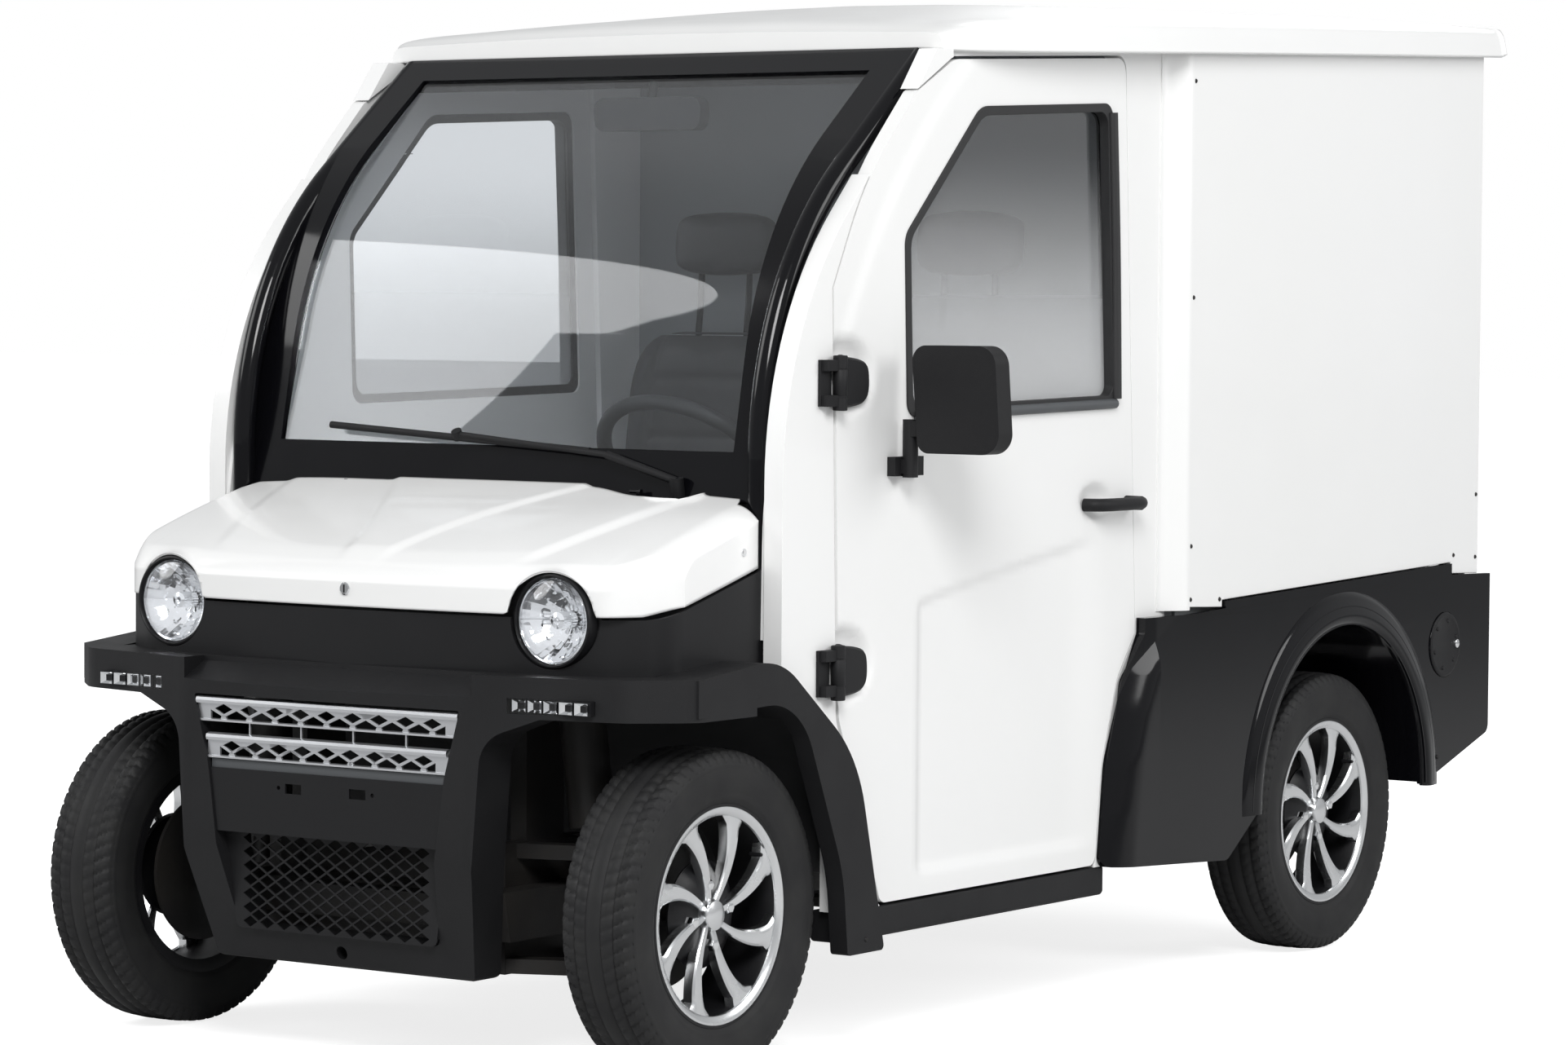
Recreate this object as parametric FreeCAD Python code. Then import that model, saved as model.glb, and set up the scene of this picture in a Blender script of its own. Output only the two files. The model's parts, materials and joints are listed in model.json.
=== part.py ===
import FreeCAD, Part
import math
import os

# Small electric delivery van: two-seat cab in front, closed cargo box behind.
# Millimetres. X points to the vehicle's left, Y to its rear, Z up.
# Stations along Y are measured from the front axle and moved to the frame's
# origin, the middle of the overall length, when the pieces are written.

V = FreeCAD.Vector

# Overall layout
wheelbase = 2000.0
track = 1080.0
front_overhang = 270.0
rear_overhang = 600.0
panel_gap = 5.0             # shut line between a moving panel and its neighbours
seat_gap = 0.3              # clearance between pieces that only rest on each other
skin = 5.0                  # moulded panel wall

# Wheels
tyre_radius = 266.0
tyre_width = 145.0
bead_radius = 167.0
rim_flange_radius = 182.0
rim_width = 120.0
spoke_count = 8
spoke_hub_width = 30.0
spoke_tip_width = 46.0
spoke_thickness = 16.0
spoke_sweep_deg = 24.0
face_inset = 13.0           # spoke face behind the tyre's outer side
hub_radius = 52.0
cap_radius = 27.0
drum_radius = 118.0
drum_depth = 52.0

# Steering and front suspension
steer_axis_x = 440.0
upright_width = 30.0
lower_arm_z = 168.0
upper_arm_z = 352.0
arm_thickness = 24.0
coil_radius = 38.0
coil_top_z = 600.0
wheel_tilt_deg = 45.0
wheel_x = 255.0
wheel_y = 400.0
wheel_z = 951.0
wheel_ring_radius = 168.0
wheel_ring_section = 13.0
column_radius = 24.0
column_length = 330.0

# Chassis
rail_x = 270.0
rail_width = 50.0
rail_height = 80.0
rail_low_z = 215.0
rail_high_z = 380.0
rail_rear_y = 2500.0
kick_start_y = 1450.0
kick_end_y = 1590.0
bearer_width = 44.0
axle_tube_radius = 36.0
diff_radius = 105.0
motor_radius = 92.0
motor_length = 230.0
spring_half_length = 370.0
spring_width = 50.0
spring_thickness = 26.0

# Cab
side_x = 610.0              # outer plane of the doors
door_thickness = 30.0
cab_floor_z = 295.0
floor_thickness = 14.0
floor_front_y = 345.0
firewall_y = 222.0
sill_low_z = 187.0
sill_top_z = 239.0
sill_width = 66.0
pillar_radius = 19.0
pillar_x = 547.0
pillar_arc = 1262.0         # bend of the front pillars, seen from the side
pillar_foot_y = 172.0
pillar_foot_z = 672.0
pillar_top_deg = 51.0
screen_top_deg = 51.1
screen_proud = 18.0         # screen surface ahead of the pillar's centre line
screen_frame_depth = 14.0
header_depth = 50.0
glass_thickness = 6.0
screen_low_z = 994.0
screen_high_z = 1628.0
screen_half_width = 481.0
screen_corner = 40.0
door_front_proud = 22.0     # door edge ahead of the pillar's centre line, outboard of it
door_low_z = 244.0
door_low_front_y = 440.0
door_low_rear_y = 1126.0
door_front_y = 312.0
door_front_bend_z = 560.0
door_pillar_z = 1262.0      # from here up the door's edge follows the pillar
door_top_front_y = 652.0
door_top_front_z = 1648.0
door_top_rear_y = 1206.0
door_top_rear_z = 1673.0
door_waist_y = 1258.0
door_waist_z = 650.0
window_low_z = 1048.0
window_front_y = 508.0
window_bend_z = 1350.0
window_top_z = 1572.0
window_top_front_y = 728.0
window_rear_y = 1186.0
window_rear_lean = 26.0
bulkhead_y = 1365.0
bulkhead_thickness = 30.0

# Nose
nose_half_width = 566.0
nose_front_y = -212.0
nose_low_z = 600.0
split_z = 741.0
split_rear_z = 826.0
bonnet_rear_y = 172.0
bonnet_front_z = 792.0
bonnet_fold_z = 818.0
bonnet_rear_z = 938.0
bonnet_hinge_x = 300.0
bonnet_hinge_setback = 6.0
bonnet_hinge_z = 926.0
bonnet_pin_radius = 3.0
bonnet_lug_width = 16.0
lamp_x = 397.0
lamp_y = -171.0
lamp_z = 735.0
lamp_ring_radius = 76.0
lamp_lens_radius = 68.0
lamp_depth = 92.0

# Front bumper and grille
bumper_half_width = 645.0
bumper_front_y = -front_overhang
shelf_low_z = 584.0
shelf_top_z = 650.0
bumper_low_z = 155.0
opening_low_z = 209.0
opening_top_z = 592.0
leg_depth_y = -176.0
leg_foot_back_y = -142.0
flare_inner_x = 611.0
bar_height = 46.0
bar_pitch = 52.0
bar_top_z = 586.0
bar_bulge = 9.0
bar_wall = 4.0
diamond_count = 9
diamond_width = 38.0
diamond_height = 18.0
diamond_pitch = 53.0
tie_count = 4
tie_width = 4.0
plate_top_z = 472.0
plate_low_z = 369.0
plate_wall = 4.0
plate_screw_spacing = 196.0
plate_screw_radius = 3.5
mesh_rows = 7
mesh_pitch = 36.0
mesh_wall = 3.0
mesh_strand = 3.0
strip_x = 436.0
strip_z = 604.0
strip_length = 150.0
strip_height = 24.0
strip_depth = 16.0

# Roof and cargo box
roof_half_width = 665.0
roof_wall = 12.0
rim_height = 50.0
box_half_width = 640.0
box_wall = 28.0
box_front_y = 1395.0
box_rear_y = 2550.0
box_floor_z = 668.0
box_floor_thickness = 28.0
rear_opening_half_width = 570.0
rear_opening_low_z = 712.0
rear_opening_high_z = 1680.0
rear_door_thickness = 26.0
rear_hinge_standoff = 8.0

# Rear lower body
fender_x = 645.0
fender_wall = 12.0
arch_radius = 328.0
arch_y = 1985.0
arch_z = 300.0
arch_lip = 36.0
arch_lip_stand = 8.0
tub_inner_x = 440.0
charge_y = 2400.0
charge_z = 567.0
charge_radius = 64.0
rear_bumper_depth = 40.0

# Door details
hinge_x = 622.0
hinge_y = 292.0
hinge_zs = (636.0, 1108.0)
hinge_height = 76.0
hinge_pin_radius = 7.0
handle_y = 1162.0
handle_z = 884.0
handle_length = 150.0
mirror_y = 480.0
mirror_z = 1080.0
mirror_x = 740.0
mirror_width = 152.0
mirror_height = 178.0
mirror_depth = 42.0
seal_width = 16.0

# Seats
seat_x = 270.0
seat_width = 430.0
seat_front_y = 700.0
seat_rear_y = 1120.0
seat_low_z = 560.0
cushion_thickness = 110.0
back_thickness = 110.0
back_top_z = 1198.0
headrest_low_z = 1282.0
headrest_top_z = 1409.0
headrest_width = 230.0
battery_half_width = 500.0

origin_y = (wheelbase + rear_overhang - front_overhang) / 2
roof_rear_y = wheelbase + rear_overhang
arc_y = pillar_foot_y + pillar_arc
nodes = {}


def put(plane, u, v, w):
    """Point with (u, v) in the plane across the named axis, and w along it."""
    if plane == "x":
        return V(w, u, v)
    if plane == "y":
        return V(u, w, v)
    return V(u, v, w)


def corner(rows, i, closed):
    """Start, middle and end of the rounded corner at row i of (u, v, radius)."""
    n = len(rows)
    u, v, r = rows[i]
    p = V(u, v, 0)
    if r <= 0 or (not closed and i in (0, n - 1)):
        return p, p, p
    a = V(*rows[i - 1][:2], 0) - p
    b = V(*rows[(i + 1) % n][:2], 0) - p
    half = a.getAngle(b) / 2
    reach = min(r / math.tan(half), 0.49 * a.Length, 0.49 * b.Length)
    r = reach * math.tan(half)
    a.normalize()
    b.normalize()
    bisector = a + b
    bisector.normalize()
    middle = p + bisector * (r / math.sin(half) - r)
    return p + a * reach, middle, p + b * reach


def outline(plane, rows, w=0.0, closed=True):
    """Wire of straight lines and tangent arcs through rows of (u, v, radius)."""
    cuts = [corner(rows, i, closed) for i in range(len(rows))]
    edges = []
    for i, (start, middle, end) in enumerate(cuts):
        if (end - start).Length > 1e-6:
            points = [put(plane, p.x, p.y, w) for p in (start, middle, end)]
            edges.append(Part.Arc(*points).toShape())
        if closed or i < len(cuts) - 1:
            after = cuts[(i + 1) % len(cuts)][0]
            if (after - end).Length > 1e-6:
                edges.append(Part.makeLine(put(plane, end.x, end.y, w), put(plane, after.x, after.y, w)))
    return Part.Wire(edges)


def prism(plane, rows, w0, w1):
    """Outline extruded from w0 to w1 along the axis that the plane faces."""
    return Part.Face(outline(plane, rows, w0)).extrude(put(plane, 0, 0, w1 - w0))


def block(x0, x1, y0, y1, z0, z1):
    return Part.makeBox(x1 - x0, y1 - y0, z1 - z0, V(x0, y0, z0))


def rod(start, end, radius):
    return Part.makeCylinder(radius, (end - start).Length, start, end - start)


def mirror(shape):
    return shape.mirror(V(0, 0, 0), V(1, 0, 0))


def pair(shape):
    return Part.makeCompound([shape, mirror(shape)])


def join(*shapes):
    return shapes[0].multiFuse(list(shapes[1:])).removeSplitter()


def both_sides(rows):
    """Rows of one half, from low to high X, followed by their mirror image."""
    return list(rows) + [(-u, v, r) for u, v, r in reversed(rows)]


def strip(rows, thickness):
    """Closed rows around an open line, thickened to its left."""
    shifted = []
    for i, (u, v, r) in enumerate(rows):
        p = V(u, v, 0)
        before = (p - V(*rows[i - 1][:2], 0)) if i > 0 else None
        after = (V(*rows[i + 1][:2], 0) - p) if i < len(rows) - 1 else None
        sides = []
        for d in (before, after):
            if d is not None:
                d.normalize()
                sides.append(V(-d.y, d.x, 0))
        side = sides[0] + sides[-1]
        side.normalize()
        reach = thickness / side.dot(sides[0])
        turn = 0.0
        if before is not None and after is not None and r > 0:
            turn = thickness if before.cross(after).z < 0 else -thickness
        shifted.append((u + side.x * reach, v + side.y * reach, max(r + turn, 0)))
    return list(rows) + shifted[::-1]


def arc_row(radius, low_deg, high_deg):
    """Row whose rounded corner is the arc of that radius about the pillar's centre."""
    middle = math.radians((low_deg + high_deg) / 2)
    reach = radius / math.cos(math.radians((high_deg - low_deg) / 2))
    return (arc_y - reach * math.cos(middle), pillar_foot_z + reach * math.sin(middle), radius)


def arc_point(radius, deg):
    a = math.radians(deg)
    return (arc_y - radius * math.cos(a), pillar_foot_z + radius * math.sin(a), 0)


def arc_deg(radius, z):
    """Angle at which an arc about the pillar's centre reaches height z."""
    return math.degrees(math.asin((z - pillar_foot_z) / radius))


def arc_band(outer, inner, low_deg, high_deg):
    """Rows of the band between two arcs about the pillar's centre."""
    low_out, high_out = arc_point(outer, low_deg), arc_point(outer, high_deg)
    low_in, high_in = arc_point(inner, low_deg), arc_point(inner, high_deg)
    return [low_out, arc_row(outer, low_deg, high_deg), high_out,
            high_in, arc_row(inner, low_deg, high_deg), low_in]


# Roof: a ruled skin over six sections; columns are station, half width,
# height of the rim's lower edge and height of the crown
roof_sections = [
    (634.0, roof_half_width - 66.0, 1664.0, 1704.0),
    (710.0, roof_half_width - 30.0, 1664.0, 1728.0),
    (900.0, roof_half_width - 10.0, 1670.0, 1752.0),
    (1300.0, roof_half_width, 1686.0, 1788.0),
    (roof_rear_y - 70.0, roof_half_width, 1732.0, 1822.0),
    (roof_rear_y, roof_half_width - 6.0, 1735.0, 1794.0),
]


def roof_solid(inset, drop):
    """Roof form drawn in by inset, with its lower edge let down by drop."""
    wires = []
    for i, (y, half, low, crown) in enumerate(roof_sections):
        shoulder = low + min(rim_height, (crown - low) * 0.72)
        half = half - inset
        end = inset if i == 0 else (-inset if i == len(roof_sections) - 1 else 0)
        rows = both_sides([(half, low - drop, 0), (half, shoulder - inset, 22.0), (0.01, crown - inset, 0)])
        rows = rows[:3] + rows[4:]
        wires.append(outline("y", rows, y + end))
    return Part.makeLoft(wires, True, True)


def roof():
    under = roof_solid(roof_wall, roof_rear_y)
    nodes["roof"] = roof_solid(0.0, 0.0).cut(under)
    return under


def beneath_roof(shape, under):
    """Shape trimmed to the roof's inner face; ahead of the roof it is left as it is."""
    front_y = roof_sections[0][0] + roof_wall
    ahead = shape.common(block(-900, 900, -500, front_y, 0, roof_sections[0][2]))
    return join(ahead, shape.common(under))


def door_rows(grow=0.0):
    """Door outline seen from the side, grown outward by the given gap."""
    arc = pillar_arc + door_front_proud + grow
    low = arc_deg(arc, door_pillar_z)
    high = arc_deg(arc, door_top_front_z - 59.0)
    start = arc_point(arc, low)
    end = arc_point(arc, high)
    return [
        (door_low_front_y - grow, door_low_z - grow, 20.0),
        (door_front_y - grow, door_front_bend_z - grow * 0.2, 60.0),
        (start[0], start[1], 0),
        arc_row(arc, low, high),
        (end[0], end[1], 0),
        (door_top_front_y - grow, door_top_front_z + grow, 60.0),
        (door_top_rear_y + grow, door_top_rear_z + grow, 26.0),
        (door_waist_y + grow, door_waist_z - grow * 0.34, 14.0),
        (door_waist_y - 62.0 + grow * 0.9, door_waist_z - 80.0 - grow * 0.48, 60.0),
        (door_low_rear_y + 20.0 + grow, door_low_z + 176.0 - grow * 0.22, 120.0),
        (door_low_rear_y + grow, door_low_z - grow, 20.0),
    ]


def window_rows(inset=0.0):
    return [
        (window_front_y + inset, window_low_z + inset, 26.0),
        (window_front_y - 11.0 + inset, window_bend_z - inset * 0.3, 40.0),
        (window_top_front_y + inset * 0.4, window_top_z - inset, 60.0),
        (window_rear_y - window_rear_lean - inset, window_top_z + 20.0 - inset, 26.0),
        (window_rear_y - inset, window_low_z + 12.0 + inset, 20.0),
    ]


def cab_sides(under):
    edge = pillar_arc + pillar_radius + 3
    outer = [
        (316.0, sill_top_z, 0),
        (316.0, 360.0, 60.0),
        (232.0, 560.0, 120.0),
        (150.0, 640.0, 40.0),
        arc_point(edge, 0),
        arc_row(edge, 0, 45),
        arc_point(edge, 45),
        (640.0, 1720.0, 0),
        (bulkhead_y - seat_gap, 1760.0, 0),
        (bulkhead_y - seat_gap, sill_top_z, 0),
    ]
    inner_x = side_x - door_thickness - 8
    panel = prism("x", outer, inner_x, side_x - 2)
    band = arc_band(edge, pillar_arc - pillar_radius, 1.0, arc_deg(edge, door_pillar_z))
    panel = join(panel, prism("x", band, nose_half_width, inner_x + 1))
    doorway = prism("x", door_rows(panel_gap), inner_x - 20, side_x + 10)
    below = block(inner_x - 20, side_x + 10, door_low_front_y, door_low_rear_y, sill_top_z - 60, 300)
    side = beneath_roof(panel.cut(doorway).cut(below), under).cut(nodes["windscreen_frame"])
    nodes["cab_sides"] = pair(side)


def door(side):
    flip = mirror if side == "right" else (lambda shape: shape)
    inner_x = side_x - door_thickness
    shell = prism("x", door_rows(), inner_x, side_x)
    window = prism("x", window_rows(), inner_x - 1, side_x + 1)
    nodes["door_" + side] = flip(shell.cut(window))
    nodes["door_" + side + "_glass"] = flip(prism("x", window_rows(seal_width - 6), inner_x + 9, inner_x + 14))
    seal = prism("x", window_rows(), inner_x + 4, side_x + 3)
    seal = seal.cut(prism("x", window_rows(seal_width), inner_x, side_x + 4))
    seal = seal.cut(prism("x", window_rows(seal_width - 6), inner_x + 9, inner_x + 14))
    nodes["door_" + side + "_seal"] = flip(seal)
    leaves = []
    for z in hinge_zs:
        low, high = z - hinge_height / 2, z + hinge_height / 2
        leaf = block(side_x, side_x + 5, hinge_y + 12, hinge_y + 78, low, high)
        arm = block(side_x, hinge_x + 3, hinge_y + 12, hinge_y + 20, z - hinge_height / 4, z + hinge_height / 4)
        knuckle = rod(V(hinge_x, hinge_y, z - hinge_height / 4), V(hinge_x, hinge_y, z + hinge_height / 4), 11.0)
        web = block(hinge_x - 4, hinge_x + 4, hinge_y, hinge_y + 14, z - hinge_height / 4, z + hinge_height / 4)
        bore = rod(V(hinge_x, hinge_y, low), V(hinge_x, hinge_y, high), hinge_pin_radius + 0.06)
        leaves.append(join(leaf, arm, knuckle, web).cut(bore))
    grip = prism("z", [
        (side_x, handle_y - handle_length / 2, 0),
        (side_x + 24, handle_y - handle_length / 2, 8),
        (side_x + 32, handle_y + handle_length / 2, 10),
        (side_x + 14, handle_y + handle_length / 2, 4),
        (side_x + 14, handle_y - handle_length / 4, 6),
        (side_x, handle_y - handle_length / 4, 0),
    ], handle_z - 14, handle_z + 14)
    lock = rod(V(side_x, handle_y + 62, handle_z), V(side_x + 22, handle_y + 62, handle_z), 11.0)
    handle = join(grip, lock)
    nodes["door_" + side + "_fittings"] = flip(Part.makeCompound(leaves + [handle]))
    foot = block(side_x, side_x + 16, mirror_y - 30, mirror_y + 56, mirror_z - 128, mirror_z - 96)
    post = rod(V(side_x + 26, mirror_y, mirror_z - 130), V(side_x + 26, mirror_y, mirror_z - 34), 13.0)
    neck = block(side_x + 14, side_x + 28, mirror_y - 13, mirror_y + 13, mirror_z - 124, mirror_z - 100)
    arm = block(side_x + 20, mirror_x - mirror_width / 2 + 12, mirror_y - 11, mirror_y + 11, mirror_z - 62, mirror_z - 36)
    head = prism("y", [
        (mirror_x - mirror_width / 2, mirror_z - mirror_height / 2, 22),
        (mirror_x + mirror_width / 2 + 8, mirror_z - mirror_height / 2, 34),
        (mirror_x + mirror_width / 2 - 4, mirror_z + mirror_height / 2, 34),
        (mirror_x - mirror_width / 2 - 14, mirror_z + mirror_height / 2, 26),
    ], mirror_y - mirror_depth / 2, mirror_y + mirror_depth / 2)
    nodes["door_" + side + "_mirror"] = flip(join(foot, neck, post, arm, head))


def hinge_posts():
    posts = []
    for z in hinge_zs:
        low, high = z - hinge_height / 2, z + hinge_height / 2
        leaf = block(side_x - 2, side_x + 4, hinge_y - 44, hinge_y - 13, low, high)
        pin = rod(V(hinge_x, hinge_y, low), V(hinge_x, hinge_y, high), hinge_pin_radius)
        parts = [leaf, pin]
        for z0, z1 in ((low, z - hinge_height / 4 - 0.5), (z + hinge_height / 4 + 0.5, high)):
            parts.append(rod(V(hinge_x, hinge_y, z0), V(hinge_x, hinge_y, z1), 11.0))
            parts.append(block(hinge_x - 14, hinge_x + 4, hinge_y - 40, hinge_y, z0, z1))
        posts.append(join(*parts))
    nodes["hinge_posts"] = Part.makeCompound(posts + [mirror(post) for post in posts])


def windscreen():
    tube_rows = [
        (pillar_foot_y, nose_low_z + 2, 0),
        (pillar_foot_y, pillar_foot_z, 0),
        arc_row(pillar_arc, 0, pillar_top_deg),
        arc_point(pillar_arc, pillar_top_deg),
    ]
    path = outline("x", tube_rows, pillar_x, closed=False)
    ring = Part.Wire(Part.makeCircle(pillar_radius, V(pillar_x, pillar_foot_y, nose_low_z + 2), V(0, 0, 1)))
    tube = path.makePipeShell([ring], True, True)
    outer = pillar_arc + screen_proud
    inner = outer - screen_frame_depth
    low = arc_deg(outer, 914.0)
    band = prism("x", arc_band(outer, inner, low, screen_top_deg), -pillar_x, pillar_x)
    lower_deg = arc_deg(outer, screen_low_z)
    upper_deg = arc_deg(outer, screen_high_z)
    clear = prism("x", arc_band(outer + 20, inner - 20, lower_deg, upper_deg), -screen_half_width, screen_half_width)
    header = prism("x", arc_band(outer, outer - header_depth, screen_top_deg - 1.6, screen_top_deg),
                   -pillar_x, pillar_x)
    cowl = prism("x", strip([
        (bonnet_rear_y + panel_gap + 8, 920.0, 0), (bonnet_rear_y + panel_gap + 22, 880.0, 8),
        (firewall_y + floor_thickness, 880.0, 0),
    ], 5.0), -pillar_x, pillar_x)
    pin_y = bonnet_rear_y - bonnet_hinge_setback
    x0 = bonnet_hinge_x + bonnet_lug_width / 2 + seat_gap
    eye = rod(V(x0, pin_y, bonnet_hinge_z), V(x0 + 7, pin_y, bonnet_hinge_z), bonnet_pin_radius + 1.5)
    arm = prism("x", [(pin_y - 5, bonnet_hinge_z, 0), (pin_y - 5, 900.0, 3), (pin_y + 26, 896.0, 0),
                      (pin_y + 26, 912.0, 3), (pin_y + 4, 914.0, 3), (pin_y + 4, bonnet_hinge_z, 0)], x0, x0 + 7)
    pin = rod(V(x0 - bonnet_lug_width, pin_y, bonnet_hinge_z), V(x0 + 1, pin_y, bonnet_hinge_z), bonnet_pin_radius)
    hinge = join(eye, arm, pin)
    frame = join(tube, mirror(tube), band, header, cowl, hinge, mirror(hinge)).cut(clear).cut(nodes["roof"])
    nodes["windscreen_frame"] = frame
    glass = prism("x", arc_band(outer - 3, outer - 3 - glass_thickness, lower_deg, upper_deg),
                  -screen_half_width, screen_half_width)
    nodes["windscreen"] = glass


def nose_plan(inset=0.0, rear=None):
    """Plan outline of the nose, from the left rear corner round the front."""
    rear = bonnet_rear_y if rear is None else rear
    half = nose_half_width - inset
    front = nose_front_y + inset
    return both_sides([
        (half, rear, 0),
        (half, front + 115.0, 70.0),
        (half - 130.0, front + 32.0, 250.0),
        (0.01, front, 0),
    ])


def split_rows(offset, low_z, high_z):
    """Side view of the joint between bonnet and nose band, shifted by offset."""
    return [(-320.0, split_z + offset, 0), (-110.0, split_z + offset, 120.0),
            (260.0, split_rear_z + 12 + offset, 0), (260.0, high_z, 0), (-320.0, high_z, 0)] if high_z > split_z else [
            (-320.0, split_z + offset, 0), (-110.0, split_z + offset, 120.0),
            (260.0, split_rear_z + 12 + offset, 0), (260.0, low_z, 0), (-320.0, low_z, 0)]


def lamp_bores(radius):
    bore = rod(V(lamp_x, lamp_y - 90, lamp_z), V(lamp_x, lamp_y + 150, lamp_z), radius)
    return bore, mirror(bore)


def bonnet_loft(inset):
    """Bonnet form: columns are station, crown height, half width of the flat top."""
    wires = []
    stations = [(nose_front_y - 6, bonnet_front_z, 505.0), (nose_front_y + 27, bonnet_fold_z, 500.0),
                (bonnet_rear_y, bonnet_rear_z, 470.0)]
    if inset > 0:
        stations.append((bonnet_rear_y + 20, bonnet_rear_z, 470.0))
    for y, z, flat in stations:
        half = nose_half_width - inset
        z = z - inset
        rows = both_sides([(half + 10, 600.0, 0), (half + 10, z - 62, 60.0), (flat, z, 90.0)])
        wires.append(outline("y", rows, y))
    return Part.makeLoft(wires, True, True)


def nose():
    gap = panel_gap / 2
    outer = prism("z", nose_plan(0.0, firewall_y - 40), nose_low_z, 900.0)
    hollow = prism("z", nose_plan(skin, firewall_y - 20), nose_low_z - 10, 910.0)
    below = prism("x", split_rows(-gap, 500.0, 0.0), -700, 700)
    band = outer.cut(hollow).common(below)
    seats = [rod(V(s * lamp_x, lamp_y - 90, lamp_z), V(s * lamp_x, lamp_y + 150, lamp_z), lamp_ring_radius - 4)
             for s in (1, -1)]
    collars = [rod(V(s * lamp_x, lamp_y + 8, lamp_z), V(s * lamp_x, lamp_y + 40, lamp_z), lamp_ring_radius)
               for s in (1, -1)]
    collars = [c.common(prism("z", nose_plan(skin / 2, firewall_y), nose_low_z, 900.0)) for c in collars]
    for bore in lamp_bores(lamp_ring_radius + seat_gap):
        band = band.cut(bore)
    stay = block(-lamp_x, lamp_x, -150, -144, 640, 700)
    side_stay = block(lamp_x, nose_half_width - skin / 2, -150, -144, 640, 700)
    side_stay = side_stay.common(prism("z", nose_plan(skin / 2, firewall_y), nose_low_z, 900.0))
    panel = join(band, stay, side_stay, mirror(side_stay), *collars)
    for seat in seats:
        panel = panel.cut(seat)
    for s in (1, -1):
        ring = rod(V(s * lamp_x, lamp_y - 90, lamp_z), V(s * lamp_x, lamp_y + 8, lamp_z), lamp_ring_radius + seat_gap)
        panel = panel.cut(ring)
    nodes["nose_panel"] = panel.cut(nodes["windscreen_frame"])
    shell = bonnet_loft(0.0).common(prism("z", nose_plan(), 700, 1000))
    inner = bonnet_loft(skin).common(prism("z", nose_plan(skin, bonnet_rear_y + 20), 600, 1000))
    above = prism("x", split_rows(gap, 0.0, 1100.0), -700, 700)
    bonnet = shell.cut(inner).common(above)
    for bore in lamp_bores(lamp_ring_radius + panel_gap - 1):
        bonnet = bonnet.cut(bore)
    notch = rod(V(384.0, bonnet_rear_y, 850.0), V(384.0, bonnet_rear_y, 960.0), 52.0)
    corner = block(pillar_x - pillar_radius - 8, 700, pillar_foot_y - pillar_radius - panel_gap, 260, 700, 1000)
    bonnet = bonnet.cut(corner).cut(mirror(corner))
    half = bonnet_lug_width / 2
    pin_y = bonnet_rear_y - bonnet_hinge_setback
    lug = rod(V(bonnet_hinge_x - half, pin_y, bonnet_hinge_z), V(bonnet_hinge_x + half, pin_y, bonnet_hinge_z), 6.5)
    bore = rod(V(bonnet_hinge_x - half, pin_y, bonnet_hinge_z), V(bonnet_hinge_x + half, pin_y, bonnet_hinge_z),
               bonnet_pin_radius + 0.06)
    nodes["bonnet"] = join(bonnet.cut(notch), lug, mirror(lug)).cut(bore).cut(mirror(bore))


def headlamps():
    profile = [
        (0.0, lamp_y - 26, 0), (lamp_lens_radius * 0.7, lamp_y - 20, 60), (lamp_lens_radius, lamp_y - 4, 10),
        (lamp_ring_radius - 2, lamp_y - 8, 3), (lamp_ring_radius, lamp_y + 6, 0),
        (lamp_ring_radius - 4.3, lamp_y + 8, 0), (lamp_ring_radius - 4.3, lamp_y + 44, 6),
        (34.0, lamp_y + lamp_depth, 12), (0.0, lamp_y + lamp_depth, 0),
    ]
    face = Part.Face(outline("z", profile))
    lamp = face.revolve(V(0, 0, 0), V(0, 1, 0), 360)
    lamp.translate(V(lamp_x, 0, lamp_z))
    nodes["headlamps"] = pair(lamp)


def bumper_plan():
    front = bumper_front_y
    half = bumper_half_width
    return both_sides([
        (half, 30.0, 0), (half, front + 140, 50.0), (half - 85, front + 62, 80.0),
        (300.0, front + 8, 200.0), (0.01, front, 0),
    ])


def opening_rows(inset=0.0):
    """Front opening for the grille, plate carrier and mesh."""
    return both_sides([
        (209.0 - inset, opening_low_z + inset, 12.0),
        (246.0 - inset, 480.0, 200.0),
        (277.0 - inset, opening_top_z, 4.0),
    ])


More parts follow.
